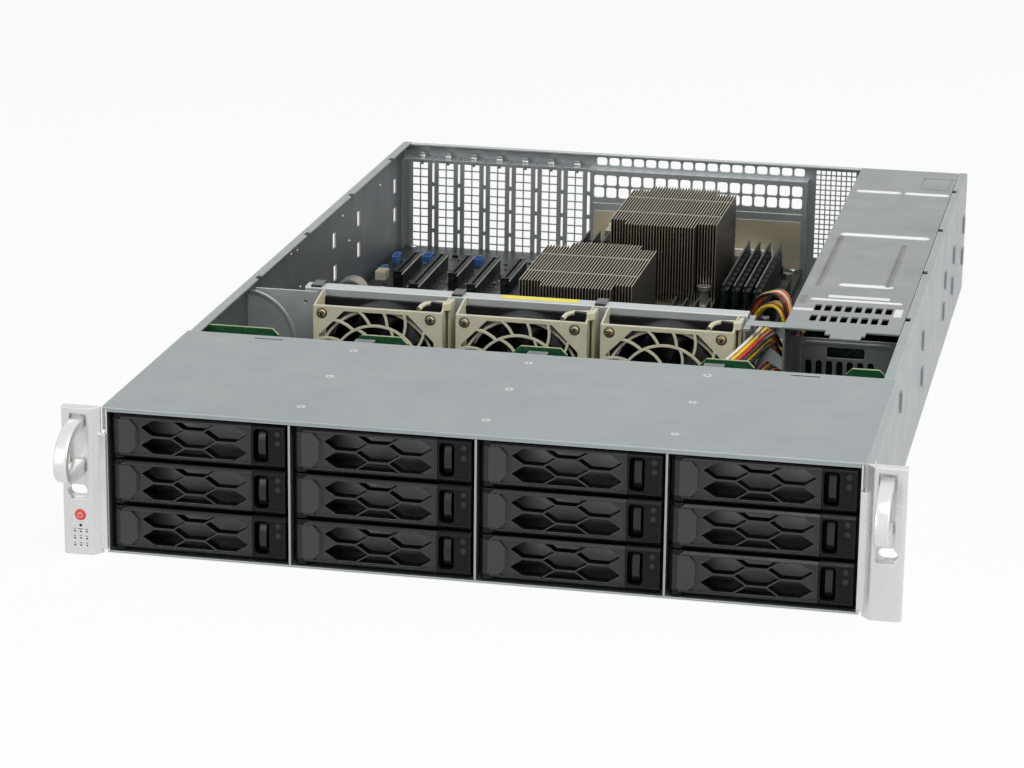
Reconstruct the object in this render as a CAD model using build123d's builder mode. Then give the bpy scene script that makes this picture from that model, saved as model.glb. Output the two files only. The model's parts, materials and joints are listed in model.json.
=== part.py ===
"""A 2U rack server with twelve front drive trays, its rear cover taken off.

X runs to the right as seen from the front, Y to the rear and Z up, in millimetres. The origin is at
the middle of the whole outline, on the underside. Heights are measured from the underside, and
depths from the plane that the drive fronts stand behind.
"""

from build123d import *
import math
import os

os.makedirs("parts", exist_ok=True)

# Overall sizes
rack_width = 482.6
body_width = 437.0
body_height = 88.0
body_depth = 722.0
sheet = 1.2
cover_overhang = 1.5
front_cover_depth = 165.0
ear_reach = 40.0
psu_reach = 24.0

# Clearances
running_gap = 0.3
seat_gap = 0.05

# The body's planes
wall_out = body_width / 2 - cover_overhang
wall_in = wall_out - sheet
cover_under = body_height - sheet
front = (ear_reach - body_depth - psu_reach) / 2
rear = front + body_depth
cover_rear = front + front_cover_depth

# Drive bays, in columns and rows
columns = 4
rows = 3
bay_pitch = (2 * wall_in + sheet) / columns
row_pitch = 27.6
first_row = 2.6
bezel_height = 26.4
bezel_width = 103.0
bezel_front = 0.5
cage_depth = 176.0
shelf_thickness = 0.8


def wall_plane(y):
    """A plane that faces forward at depth y, with X to its right and Z up."""
    return Plane(origin=(0, y, 0), x_dir=(1, 0, 0), z_dir=(0, -1, 0))


def side_plane(x):
    """A plane that faces +X at x, with Y to its right and Z up."""
    return Plane(origin=(x, 0, 0), x_dir=(0, 1, 0), z_dir=(1, 0, 0))


def block(x0, x1, y0, y1, z0, z1, mode=Mode.ADD):
    """A box between two corners."""
    with Locations(((x0 + x1) / 2, (y0 + y1) / 2, (z0 + z1) / 2)):
        Box(x1 - x0, y1 - y0, z1 - z0, mode=mode)


def panel(a0, a1, b0, b1, mode=Mode.ADD):
    """A rectangle between two corners of a sketch."""
    with Locations(((a0 + a1) / 2, (b0 + b1) / 2)):
        Rectangle(a1 - a0, b1 - b0, mode=mode)


def post(x, y, z0, z1, radius, mode=Mode.ADD):
    """An upright cylinder."""
    with Locations((x, y, (z0 + z1) / 2)):
        Cylinder(radius, z1 - z0, mode=mode)


def rod_y(x, z, y0, y1, radius, mode=Mode.ADD):
    """A cylinder that lies along Y."""
    with Locations(Location((x, (y0 + y1) / 2, z), (90, 0, 0))):
        Cylinder(radius, y1 - y0, mode=mode)


def placed(source, x=0.0, y=0.0, z=0.0):
    """A copy of a finished piece at another place."""
    return source.part.moved(Location((x, y, z)))


def save(name, *pieces):
    """Writes one node, made of one or more separate solids."""
    solids = [piece.part if isinstance(piece, BuildPart) else piece for piece in pieces]
    node = solids[0] if len(solids) == 1 else Compound(children=solids)
    node.label = name
    export_step(node, f"parts/{name}.step")


# Chassis base: floor, two side walls and their top flanges
wall_flange_width = 6.0
left_slot_spots = (
    (215, 60), (365, 57), (370, 33), (506, 62), (508, 37.5), (576, 61.5), (576, 38), (687, 60.5), (687, 38),
)
right_slot_spots = (
    (213, 60), (365, 57), (370, 31), (541, 52), (536, 31), (615, 52), (611, 30), (700, 54), (700, 30),
)
wall_slot_length = 11.0
wall_slot_width = 8.0
rail_bridge_width = 3.5
rail_bridge_reach = 1.6
rail_bridge_foot = 1.2
flange_notch_depths = (300.0, 420.0, 540.0, 660.0)
flange_notch_length = 9.0
flange_notch_width = 3.0
low_wall_top = cover_under - 0.2

with BuildPart() as chassis_base:
    block(-wall_out, wall_out, front, rear, 0, sheet)
    for side in (-1, 1):
        outer = side * wall_out
        slot_spots = left_slot_spots if side < 0 else right_slot_spots
        with BuildSketch(side_plane(outer)):
            panel(front, cover_rear + running_gap, 0, low_wall_top)
            panel(cover_rear + running_gap, rear, 0, body_height)
            with Locations(*[(front + depth, height) for depth, height in slot_spots]):
                Rectangle(wall_slot_width, wall_slot_length, mode=Mode.SUBTRACT)
        extrude(amount=-side * sheet)
        flange_edge = side * (wall_out - wall_flange_width)
        with BuildSketch(Plane.XY.offset(cover_under)):
            panel(min(outer, flange_edge), max(outer, flange_edge), cover_rear + running_gap, rear)
            for depth in flange_notch_depths:
                notch_middle = flange_edge + side * flange_notch_width / 2
                with Locations((notch_middle, front + depth)):
                    Rectangle(flange_notch_width, flange_notch_length, mode=Mode.SUBTRACT)
        extrude(amount=sheet)
    # Bridges pressed out of the right wall, which the rack's rail hooks on to
    for depth, height in right_slot_spots:
        block(
            wall_out - rail_bridge_foot / 2,
            wall_out + rail_bridge_reach,
            front + depth - rail_bridge_width / 2,
            front + depth + rail_bridge_width / 2,
            height - wall_slot_length / 2 - rail_bridge_foot,
            height + wall_slot_length / 2 + rail_bridge_foot,
        )
save("chassis_base", chassis_base)

# Front top cover: one sheet with a front lip and two side flanges, held by countersunk screws
cover_lip = 3.0
cover_side_flange = 14.0
cover_screw_depths = (27.0, 90.0, 146.0)
screw_shank = 1.4
screw_head = 2.5
screw_head_angle = 90
cover_slot_x = 165.0
cover_slot_size = (18.0, 3.0)
cover_screw_spots = [
    (column * bay_pitch, front + depth)
    for column in (-1, 0, 1)
    for depth in cover_screw_depths
]

with BuildPart() as front_top_cover:
    with BuildSketch(wall_plane(front)):
        panel(-body_width / 2, body_width / 2, cover_under, body_height)
        for side in (-1, 1):
            edge = side * body_width / 2
            inner = side * (body_width / 2 - sheet)
            panel(min(edge, inner), max(edge, inner), body_height - cover_side_flange, body_height)
    extrude(amount=-front_cover_depth)
    lip_half = wall_in - running_gap
    block(-lip_half, lip_half, front, front + sheet, body_height - cover_lip, body_height)
    front_top_edge = front_top_cover.edges().filter_by(Axis.X).group_by(Axis.Z)[-1].sort_by(Axis.Y)[0]
    fillet(front_top_edge, radius=sheet - 0.1)
    for side in (-1, 1):
        slot_width, slot_depth = cover_slot_size
        middle = cover_rear - 2 * slot_depth
        block(
            side * cover_slot_x - slot_width / 2,
            side * cover_slot_x + slot_width / 2,
            middle - slot_depth / 2,
            middle + slot_depth / 2,
            cover_under - 1,
            body_height + 1,
            mode=Mode.SUBTRACT,
        )
    with Locations(*[(x, y, body_height) for x, y in cover_screw_spots]):
        CounterSinkHole(screw_shank + 2 * seat_gap, screw_head + seat_gap, sheet, screw_head_angle)
save("front_top_cover", front_top_cover)

# Drive cage: upright dividers, a strip welded along the top of each, and shelves between them
divider_flange = 12.0
shelf_front = 22.0


def make_divider(x):
    """The upright plate, which stands behind the cover's front lip at its top."""
    with BuildPart() as divider:
        divider_near = front + sheet + running_gap
        lip_low = body_height - cover_lip - running_gap
        block(x - sheet / 2, x + sheet / 2, front + running_gap, divider_near, sheet, lip_low)
        block(x - sheet / 2, x + sheet / 2, divider_near, front + cage_depth, sheet, cover_under - sheet)
    return divider


def make_divider_strip(x):
    """The strip on the upright plate, which the cover's screws go through."""
    left = x - divider_flange / 2
    right = x + divider_flange / 2
    with BuildPart() as strip:
        divider_near = front + sheet + running_gap
        block(left, right, divider_near, front + cage_depth, cover_under - sheet, cover_under)
        with Locations(*[(x, front + depth, cover_under) for depth in cover_screw_depths]):
            Hole(screw_shank + seat_gap, sheet)
    return strip


def make_shelf(column, row):
    left = -wall_in + column * bay_pitch
    right = left + bay_pitch - sheet
    top = first_row + row * row_pitch - (row_pitch - bezel_height - shelf_thickness) / 2
    with BuildPart() as shelf:
        block(left, right, front + shelf_front, front + cage_depth, top - shelf_thickness, top)
    return shelf


dividers = [make_divider(column * bay_pitch) for column in (-1, 0, 1)]
divider_strips = [make_divider_strip(column * bay_pitch) for column in (-1, 0, 1)]
shelves = [make_shelf(column, row) for column in range(columns) for row in range(1, rows)]
save("drive_cage", *dividers, *divider_strips, *shelves)

# Backplane: the board behind the drives, with raised tabs, air slots and drive connectors
backplane_depth = 184.0
backplane_thickness = 2.4
backplane_shoulder = 80.0
backplane_tab_top = 87.0
backplane_tab_chamfer = 4.0
backplane_tabs = ((-210.5, -170.0), (-113.0, -88.0), (-13.0, 12.0), (102.0, 127.0), (190.0, 206.5))
air_slot_height = 8.0
air_slot_width = 64.0
drive_front = 26.0
drive_length = 147.0
drive_width = 101.6
drive_height = 26.1
drive_connector_width = 42.0
drive_connector_height = 6.0
drive_rear = drive_front + drive_length

with BuildPart() as backplane_board:
    with BuildSketch(wall_plane(front + backplane_depth)):
        panel(-wall_in + running_gap, wall_in - running_gap, 3.0, backplane_shoulder)
        for left, right in backplane_tabs:
            foot = backplane_tab_chamfer
            Polygon(
                (left - foot, backplane_shoulder),
                (left - foot, backplane_tab_top - foot),
                (left, backplane_tab_top),
                (right, backplane_tab_top),
                (right + foot, backplane_tab_top - foot),
                (right + foot, backplane_shoulder),
                align=None,
            )
        for column in range(columns):
            middle = (column - (columns - 1) / 2) * bay_pitch
            for row in range(rows):
                height = first_row + row * row_pitch + bezel_height * 0.7
                with Locations((middle, height)):
                    Rectangle(air_slot_width, air_slot_height, mode=Mode.SUBTRACT)
    extrude(amount=-backplane_thickness)

with BuildPart() as drive_connector:
    block(
        -drive_connector_width / 2,
        drive_connector_width / 2,
        front + drive_rear + running_gap,
        front + backplane_depth,
        1.5,
        1.5 + drive_connector_height,
    )
drive_connectors = [
    placed(drive_connector, (column - (columns - 1) / 2) * bay_pitch, 0, first_row + row * row_pitch)
    for column in range(columns)
    for row in range(rows)
]

with BuildPart() as backplane_power:
    block(
        -14,
        14,
        front + backplane_depth + backplane_thickness,
        front + backplane_depth + backplane_thickness + 12,
        36,
        46,
    )
backplane_power_spots = (-150.0, -45.0, 60.0, 150.0)
power_headers = [placed(backplane_power, x) for x in backplane_power_spots]
save("backplane", backplane_board, *drive_connectors, *power_headers)

# Drive tray, built with its bezel's left end at x = 0, its underside at z = 0 and the front at y = 0
lever_thickness = 8.0
lever_end = 83.3
lever_gap = 0.4
lever_rise = 0.6
knuckle_radius = lever_thickness / 2
hinge_x = knuckle_radius + 0.2
hinge_y = bezel_front + lever_thickness / 2
hinge_pin = 1.2
lug_height = 3.0
rail_height = 2.7
bezel_chamfer = 2.0
field_recess = 1.6
hex_rib = 1.2
hex_pitch_x = 18.9
hex_slant = 7.6
hex_centre_x = 48.9
bezel_middle = bezel_height / 2
field_height = bezel_height - 2 * rail_height
hex_pitch_z = field_height / 2
tray_block_depth = 20.0
tray_rail = 1.6
drive_side_gap = 0.4
recess_right = 93.2
recess_left = 84.4
recess_depth = 9.5
button_left = 87.2
button_width = 4.0
button_height = 17.2
button_travel = 2.2
led_x = 98.4
led_heights = (15.0, 20.6)
led_radius = 1.6
lever_back = bezel_front + lever_thickness
frame_front = lever_back + 0.5


def hexagon(x, z):
    """One opening of the grille: a long hexagon, point to point along X."""
    half_height = (hex_pitch_z - hex_rib) / 2
    half_flat = (hex_pitch_x - hex_slant) / 2
    half_width = half_flat + hex_slant - hex_rib / 2
    Polygon(
        (x - half_width, z),
        (x - half_flat, z + half_height),
        (x + half_flat, z + half_height),
        (x + half_width, z),
        (x + half_flat, z - half_height),
        (x - half_flat, z - half_height),
        align=None,
    )


with BuildPart() as lever:
    with BuildSketch():
        with Locations((hinge_x, hinge_y)):
            Circle(knuckle_radius)
        panel(hinge_x, lever_end, bezel_front, lever_back)
    extrude(amount=bezel_height)
    # The long front edges of the two rails
    for edge_z, inner_z in ((0, bezel_chamfer), (bezel_height, bezel_height - bezel_chamfer)):
        with BuildSketch(side_plane(-1)):
            Polygon(
                (bezel_front - 1, edge_z),
                (bezel_front + bezel_chamfer, edge_z),
                (bezel_front, inner_z),
                (bezel_front - 1, inner_z),
                align=None,
            )
        extrude(amount=lever_end + 2, mode=Mode.SUBTRACT)
    # The sunk field between the rails, beside the plain end panel
    with BuildSketch(wall_plane(bezel_front)):
        field_low = rail_height
        field_high = bezel_height - rail_height
        Polygon(
            (10.7, field_high),
            (16.0, bezel_middle + 4.6),
            (16.0, bezel_middle - 4.6),
            (10.7, field_low),
            (lever_end - 1.0, field_low),
            (lever_end - 1.0, field_high),
            align=None,
        )
    extrude(amount=-field_recess, mode=Mode.SUBTRACT)
    # The openings, cut off at the rails
    with BuildSketch(wall_plane(bezel_front)):
        for column in (-1, 0, 1):
            shift = hex_pitch_z / 2 if column else 0
            steps = (-1, 1) if column else (-2, 0, 2)
            for step in steps:
                hexagon(hex_centre_x + column * hex_pitch_x, bezel_middle + step * hex_pitch_z / 2)
        panel(0, lever_end, -bezel_height, field_low + 0.3, mode=Mode.SUBTRACT)
        panel(0, lever_end, field_high - 0.3, 2 * bezel_height, mode=Mode.SUBTRACT)
    extrude(amount=-lever_thickness, mode=Mode.SUBTRACT)
    # Room for the lugs, and the pin's bore
    lug_room = lug_height + 0.2
    for z0, z1 in ((0, lug_room), (bezel_height - lug_room, bezel_height)):
        post(hinge_x, hinge_y, z0, z1, knuckle_radius + running_gap, mode=Mode.SUBTRACT)
        block(-1, hinge_x, bezel_front - 1, lever_back + 1, z0, z1, mode=Mode.SUBTRACT)
    post(hinge_x, hinge_y, 0, bezel_height, hinge_pin + seat_gap, mode=Mode.SUBTRACT)
    # Clearance under and over the lever, so that it passes the floor and the shelves
    for z0, z1 in ((-1, lever_rise), (bezel_height - lever_rise, bezel_height + 1)):
        block(-1, lever_end + 1, bezel_front - 1, lever_back + 1, z0, z1, mode=Mode.SUBTRACT)

with BuildPart() as carrier:
    # Frame behind the lever
    block(0, lever_end + lever_gap, frame_front, tray_block_depth, 0, rail_height + 0.3)
    block(
        0,
        lever_end + lever_gap,
        frame_front,
        tray_block_depth,
        bezel_height - rail_height - 0.3,
        bezel_height,
    )
    # Fixed end block, with the lamp holes and the button's recess
    block(lever_end + lever_gap, bezel_width, bezel_front, tray_block_depth, 0, bezel_height)
    for edge_z, inner_z in ((0, bezel_chamfer), (bezel_height, bezel_height - bezel_chamfer)):
        with BuildSketch(side_plane(lever_end)):
            Polygon(
                (bezel_front - 1, edge_z),
                (bezel_front + bezel_chamfer, edge_z),
                (bezel_front, inner_z),
                (bezel_front - 1, inner_z),
                align=None,
            )
        extrude(amount=bezel_width - lever_end + 1, mode=Mode.SUBTRACT)
    with BuildSketch(wall_plane(bezel_front)):
        panel(recess_left, bezel_width - 1.4, rail_height, bezel_height - rail_height)
    extrude(amount=-1.0, mode=Mode.SUBTRACT)
    with BuildSketch(wall_plane(bezel_front)):
        with Locations(((recess_left + recess_right) / 2, bezel_middle)):
            RectangleRounded(recess_right - recess_left, field_height - 1.0, 2.5)
    extrude(amount=-(recess_depth - bezel_front), mode=Mode.SUBTRACT)
    for height in led_heights:
        rod_y(led_x, height, bezel_front, bezel_front + 5, led_radius + seat_gap, mode=Mode.SUBTRACT)
    block(
        button_left + 0.5,
        button_left + button_width - 0.5,
        recess_depth - 1,
        recess_depth + 7,
        bezel_middle - 3.3,
        bezel_middle + 3.3,
        mode=Mode.SUBTRACT,
    )
    # Hinge lugs with their pin
    for z0, z1 in ((0, lug_height), (bezel_height - lug_height, bezel_height)):
        post(hinge_x, hinge_y, z0, z1, knuckle_radius)
        block(hinge_x - knuckle_radius, hinge_x, hinge_y, frame_front + 1, z0, z1)
    post(hinge_x, hinge_y, 0, bezel_height, hinge_pin)
    # Side rails that hold the drive
    drive_left = (bezel_width - drive_width) / 2
    for rail_x in (drive_left - drive_side_gap - tray_rail, bezel_width - drive_left + drive_side_gap):
        block(rail_x, rail_x + tray_rail, frame_front, cage_depth, 1.5, bezel_height - 1.5)

with BuildPart() as drive:
    drive_base = (bezel_height - drive_height) / 2
    block(
        drive_left,
        drive_left + drive_width,
        drive_front,
        drive_rear,
        drive_base,
        drive_base + drive_height,
    )
    # The lid is sunk a little inside the casting's rim
    block(
        drive_left + 2.5,
        drive_left + drive_width - 2.5,
        drive_front + 3,
        drive_rear - 12,
        drive_base + drive_height - 0.8,
        drive_base + drive_height + 1,
        mode=Mode.SUBTRACT,
    )

with BuildPart() as lamp:
    rod_y(led_x, 0, bezel_front + 1.2, bezel_front + 5, led_radius)

with BuildPart() as tray_button:
    crown = bezel_front + 1.6
    shoulder = bezel_front + 4.6
    button_back = recess_depth - button_travel
    with BuildSketch(side_plane(button_left)):
        with BuildLine():
            ThreePointArc(
                (shoulder, bezel_middle - button_height / 2),
                (crown, bezel_middle),
                (shoulder, bezel_middle + button_height / 2),
            )
            Polyline(
                (shoulder, bezel_middle + button_height / 2),
                (button_back, bezel_middle + button_height / 2),
                (button_back, bezel_middle - button_height / 2),
                (shoulder, bezel_middle - button_height / 2),
            )
        make_face()
    extrude(amount=button_width)
    block(
        button_left + 0.8,
        button_left + button_width - 0.8,
        button_back,
        recess_depth + 7 - button_travel - running_gap,
        bezel_middle - 3.0,
        bezel_middle + 3.0,
    )

tray_number = 0
for row in reversed(range(rows)):
    for column in range(columns):
        tray_number += 1
        spot_x = (column - (columns - 1) / 2) * bay_pitch - bezel_width / 2
        spot = (spot_x, front, first_row + row * row_pitch)
        lamps = [placed(lamp, spot[0], spot[1], spot[2] + height) for height in led_heights]
        save(f"drive_tray_{tray_number}", placed(carrier, *spot), placed(drive, *spot), *lamps)
        save(f"tray_handle_{tray_number}", placed(lever, *spot))
        save(f"tray_button_{tray_number}", placed(tray_button, *spot))

# Rack ears: a raised front pad with a slanting inner side and a grip; the left one holds the controls
ear_pad_depth = 7.0
ear_pad_inner = 224.0
ear_edge_depth = 1.5
ear_inner_gap = 0.6
ear_corner = 2.5
bracket_thickness = 1.2
bracket_depth = 60.0
rack_slot_height = 38.1
rack_slot_spacing = 465.1
rack_slot_width = 6.8
rack_slot_length = 11.0
grip_middle = 231.0
grip_width = 8.0
grip_high = 84.0
grip_low = 48.5
grip_high_arm = 8.0
grip_low_arm = 10.5
grip_bar = 6.0
grip_low_slant = 9.0
grip_high_slant = 8.0
grip_bend_radii = (9.0, 5.0, 5.0, 9.0)
grip_hole_low_bends = ((4.0, 4.0), (0.0, 7.0))
grip_hole_high_bends = ((0.0, -2.0), (5.0, 1.5))
grip_hole_radii = (4.0, 2.0, 2.5, 5.0)
grip_pocket_depth = 3.0
grip_pocket_low = 33.5
grip_pocket_margin = 1.0
power_button_height = 24.0
power_button_radius = 3.0
power_button_travel = 1.2
reset_hole_height = 17.6
control_x = -(rack_width / 2 - 10.6)
lamp_pitch_x = 3.6
lamp_pitch_z = 4.2
lamp_low = 5.4
control_pocket_front = 2.0
control_board_set_back = 3.0
power_cap_rear = 2.6


def make_ear(side):
    """The flange, front pad and side bracket of one ear; side is -1 at the left."""
    outer = side * rack_width / 2
    inner = side * (body_width / 2 + ear_inner_gap)
    wall = side * (wall_out + seat_gap)
    bracket = side * (wall_out + seat_gap + bracket_thickness)
    pad_inner = side * ear_pad_inner
    grip_left = side * grip_middle - grip_width / 2 - grip_pocket_margin
    grip_right = side * grip_middle + grip_width / 2 + grip_pocket_margin
    with BuildPart() as ear:
        with BuildSketch():
            with BuildLine():
                Polyline(
                    (outer, front),
                    (outer, front - ear_pad_depth),
                    (pad_inner, front - ear_pad_depth),
                    (inner, front - ear_edge_depth),
                    (inner, front),
                    close=True,
                )
            make_face()
            fillet(vertices().group_by(Axis.Y)[0], radius=ear_corner)
        extrude(amount=body_height)
        # The bracket behind the pad, fixed to the side wall below the cover's flange
        bracket_top = body_height - cover_side_flange - 2
        block(min(bracket, wall), max(bracket, wall), front - 3, front + bracket_depth, 3, bracket_top)
        block(min(inner, wall) - 1, max(inner, wall) + 1, front - 3, front - 0.6, 3, bracket_top)
        block(-wall_in, wall_in, front - 4, front, 0, body_height, mode=Mode.SUBTRACT)
        # The pocket that the grip stands in
        pocket_front = front - ear_pad_depth
        block(
            grip_left,
            grip_right,
            pocket_front - 1,
            pocket_front + grip_pocket_depth,
            grip_pocket_low,
            grip_high + grip_pocket_margin,
            mode=Mode.SUBTRACT,
        )
        with BuildSketch(wall_plane(front)):
            with Locations((side * rack_slot_spacing / 2, rack_slot_height)):
                SlotOverall(rack_slot_length, rack_slot_width)
        extrude(amount=ear_pad_depth, mode=Mode.SUBTRACT)
    return ear


def make_grip(side):
    """A bent grip: two arms and a thin bar, rounded outside and inside."""
    root = front - ear_pad_depth + grip_pocket_depth
    tip = front - ear_reach
    bar_rear = tip + grip_bar
    hole_low = grip_low + grip_low_arm
    hole_high = grip_high - grip_high_arm
    with BuildPart() as grip:
        with BuildSketch(side_plane(side * grip_middle - grip_width / 2)):
            with BuildLine():
                FilletPolyline(
                    (root, grip_low),
                    (tip + grip_low_slant, grip_low + grip_low_slant / 3),
                    (tip, grip_low + grip_low_slant),
                    (tip, grip_high - grip_high_slant),
                    (tip + grip_high_slant, grip_high - grip_high_slant / 3),
                    (root, grip_high),
                    radius=grip_bend_radii,
                )
                Line((root, grip_high), (root, grip_low))
            make_face()
            with BuildLine():
                FilletPolyline(
                    (root, hole_low),
                    *[(bar_rear + inward, hole_low + up) for inward, up in grip_hole_low_bends],
                    *[(bar_rear + inward, hole_high + up) for inward, up in grip_hole_high_bends],
                    (root, hole_high),
                    radius=grip_hole_radii,
                )
                Line((root, hole_high), (root, hole_low))
            make_face(mode=Mode.SUBTRACT)
        extrude(amount=grip_width)
    return grip


left_ear = make_ear(-1)
right_ear = make_ear(1)
with left_ear:
    pad_face = front - ear_pad_depth
    # Pocket for the control board, open to the rear
    block(
        control_x - 7.5,
        control_x + 7.5,
        pad_face + control_pocket_front,
        front + 1,
        3,
        31,
        mode=Mode.SUBTRACT,
    )
    rod_y(
        control_x,
        power_button_height,
        pad_face - 1,
        front,
        power_button_radius + 0.2,
        mode=Mode.SUBTRACT,
    )
    rod_y(control_x, reset_hole_height, pad_face - 1, front, 0.9, mode=Mode.SUBTRACT)
    for line in range(3):
        for place in (-1, 0, 1):
            rod_y(
                control_x + place * lamp_pitch_x,
                lamp_low + line * lamp_pitch_z,
                pad_face - 1,
                front,
                0.6,
                mode=Mode.SUBTRACT,
            )

with BuildPart() as control_board:
    board_front = pad_face + control_pocket_front + control_board_set_back
    block(control_x - 7.5, control_x + 7.5, board_front, board_front + 1.6, 3, 31)
save("left_ear", left_ear, make_grip(-1), control_board)
save("right_ear", right_ear, make_grip(1))

with BuildPart() as power_button:
    cap_front = pad_face - 0.8
    rod_y(control_x, power_button_height, cap_front, pad_face + power_cap_rear, power_button_radius)
    rod_y(
        control_x,
        power_button_height,
        pad_face + power_cap_rear,
        board_front - power_button_travel - running_gap,
        power_button_radius - 1.2,
    )
    cap_edge = power_button.edges().filter_by(GeomType.CIRCLE).sort_by(Axis.Y)[0]
    fillet(cap_edge, radius=0.5)
save("power_button", power_button)


def inside(x0, x1, depth0, depth1, z0, z1, mode=Mode.ADD):
    """A box whose depths are measured from the front plane."""
    block(x0, x1, front + depth0, front + depth1, z0, z1, mode=mode)


# Fans: a moulded front frame with a curved guard, over a ducted fan on its stator struts
fan_middle = -29.9
fan_pitch = 93.75
fan_spots = [fan_middle + place * fan_pitch for place in (-1, 0, 1)]
fan_size = 80.0
fan_seat = sheet + 0.1
fan_height = fan_seat + fan_size / 2
fan_front = 262.0
fan_plate = 3.0
fan_length = 27.5
fan_flange = 3.0
fan_bore = 38.2
duct_wall = 1.7
fan_left = -41.4
fan_right = 43.4
fan_plate_top = 82.0
fan_side_wall = 1.2
fan_rear_top = 86.0
guard_half = 38.0
guard_corner = 17.0
guard_ring = 29.4
guard_hub = 10.0
guard_rib = 1.6
outer_spokes = 16
inner_spokes = 8
fan_screw_spot = 35.75
fan_screw_head = 3.2
shaft_radius = 1.5
rotor_hub = 17.0
rotor_tip = 36.8
rotor_front = 267.5
rotor_back = 284.5
blade_count = 7
blade_root_angle = 52
blade_tip_angle = 28
blade_thickness = 1.4
blade_chord = 17.0
fan_back = fan_front + fan_length


def polar(radius, angle, x=0.0, z=0.0):
    """A point at an angle in degrees about a middle."""
    turn = math.radians(angle)
    return (x + radius * math.cos(turn), z + radius * math.sin(turn))


def spoke(start, end, angle, sweep):
    """One curved rib of the guard, from a ring outwards."""
    with BuildLine(mode=Mode.PRIVATE) as path:
        ThreePointArc(
            polar(start, angle, 0, fan_height),
            polar((start + end) / 2, angle + sweep * 0.38, 0, fan_height),
            polar(end, angle + sweep, 0, fan_height),
        )
    SlotArc(path.edge(), guard_rib)


def guard_outline(margin):
    """The frame's eight-sided opening."""
    half = guard_half + margin
    flat = half - guard_corner
    corners = [
        (half, flat), (flat, half), (-flat, half), (-half, flat),
        (-half, -flat), (-flat, -half), (flat, -half), (half, -flat),
    ]
    return [(x, fan_height + z) for x, z in corners]


with BuildPart() as fan_guard:
    with BuildSketch(wall_plane(front + fan_front)):
        with Locations((0, fan_height)):
            Circle(guard_ring + guard_rib / 2)
            Circle(guard_ring - guard_rib / 2, mode=Mode.SUBTRACT)
            Circle(guard_hub)
        for number in range(outer_spokes):
            spoke(guard_ring, guard_half + 8, 360 / outer_spokes * number + 8, 16)
        for number in range(inner_spokes):
            spoke(guard_hub - 1, guard_ring, 360 / inner_spokes * number, 26)
        Polygon(*guard_outline(1.0), align=None, mode=Mode.INTERSECT)
    extrude(amount=-guard_rib)

with BuildPart() as fan_housing:
    with BuildSketch(wall_plane(front + fan_front)):
        panel(fan_left, fan_right, fan_seat, fan_plate_top)
        Polygon(*guard_outline(0), align=None, mode=Mode.SUBTRACT)
    extrude(amount=-fan_plate)
    add(fan_guard.part)
    # Side walls that rise to the rear
    for wall_x in (fan_left, fan_right - fan_side_wall):
        with BuildSketch(side_plane(wall_x)):
            Polygon(
                (front + fan_front, fan_seat),
                (front + fan_front, fan_plate_top),
                (front + fan_back - 8, fan_rear_top),
                (front + fan_back, fan_rear_top),
                (front + fan_back, fan_seat),
                align=None,
            )
        extrude(amount=fan_side_wall)
    # Release lever: an upright spring tongue beside the wall, with a finger tab on top
    inside(fan_right - 0.1, fan_right + 3.4, 273, 285, 12, 18)
    inside(fan_right + 1.4, fan_right + 3.4, 273, 285, 12, 84)
    with BuildSketch(Plane.XY.offset(fan_plate_top)):
        with BuildLine():
            Polyline(
                (fan_right + 3.4, front + 285),
                (fan_right + 3.4, front + 271),
                (fan_right - 1.0, front + 268),
                (fan_right - 9.5, front + 271.5),
                (fan_right - 9.5, front + 274.5),
                (fan_right - 2.0, front + 273.5),
                (fan_right + 0.4, front + 276),
                (fan_right + 1.4, front + 285),
                (fan_right + 3.4, front + 285),
            )
        make_face()
    extrude(amount=4.4)
    for x in (-fan_screw_spot, fan_screw_spot):
        for z in (-fan_screw_spot, fan_screw_spot):
            screw_z = fan_height + z
            rod_y(x, screw_z, front + fan_front - 1, front + fan_front + 1.2, 3.6, mode=Mode.SUBTRACT)

with BuildPart() as fan_duct:
    duct_front = front + fan_front + fan_plate
    duct_back = front + fan_back
    rod_y(0, fan_height, duct_front, duct_back, fan_bore + duct_wall)
    inner_left = fan_left + fan_side_wall
    inside(
        inner_left,
        -inner_left,
        fan_back - fan_flange,
        fan_back,
        fan_seat,
        fan_seat + fan_size,
    )
    rod_y(0, fan_height, duct_front - 1, duct_back + 1, fan_bore, mode=Mode.SUBTRACT)
    # Stator hub on its struts, with the shaft
    strut = 2.4
    strut_front = fan_back - 2.0
    inside(-fan_bore - 1, fan_bore + 1, strut_front, fan_back, fan_height - strut / 2, fan_height + strut / 2)
    inside(-strut / 2, strut / 2, strut_front, fan_back, fan_height - fan_bore - 1, fan_height + fan_bore + 1)
    rod_y(0, fan_height, front + strut_front, duct_back, rotor_hub)
    rod_y(0, fan_height, front + rotor_front + 2, duct_back, shaft_radius)
    # Foot blocks join the duct to the frame at the front corners
    for side in (-1, 1):
        foot_x = side * (fan_size / 2 - 4)
        inside(foot_x - 4, foot_x + 4, fan_front + fan_plate, fan_back, fan_height - 3, fan_height + 3)
    rod_y(0, fan_height, duct_front - 1, front + strut_front, fan_bore, mode=Mode.SUBTRACT)
    rod_y(0, fan_height, front + rotor_front + 2, duct_back, shaft_radius)

with BuildPart() as fan_plug:
    inside(31, 38, fan_back - 15, fan_back - fan_flange, 8.4, 11.5)
with BuildPart() as fan_screw:
    rod_y(0, 0, front + fan_front, front + fan_front + 1.2, fan_screw_head)
    inside(-0.5, 0.5, fan_front - 1, fan_front + 0.6, -2.0, 2.0, mode=Mode.SUBTRACT)
    inside(-2.0, 2.0, fan_front - 1, fan_front + 0.6, -0.5, 0.5, mode=Mode.SUBTRACT)

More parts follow.
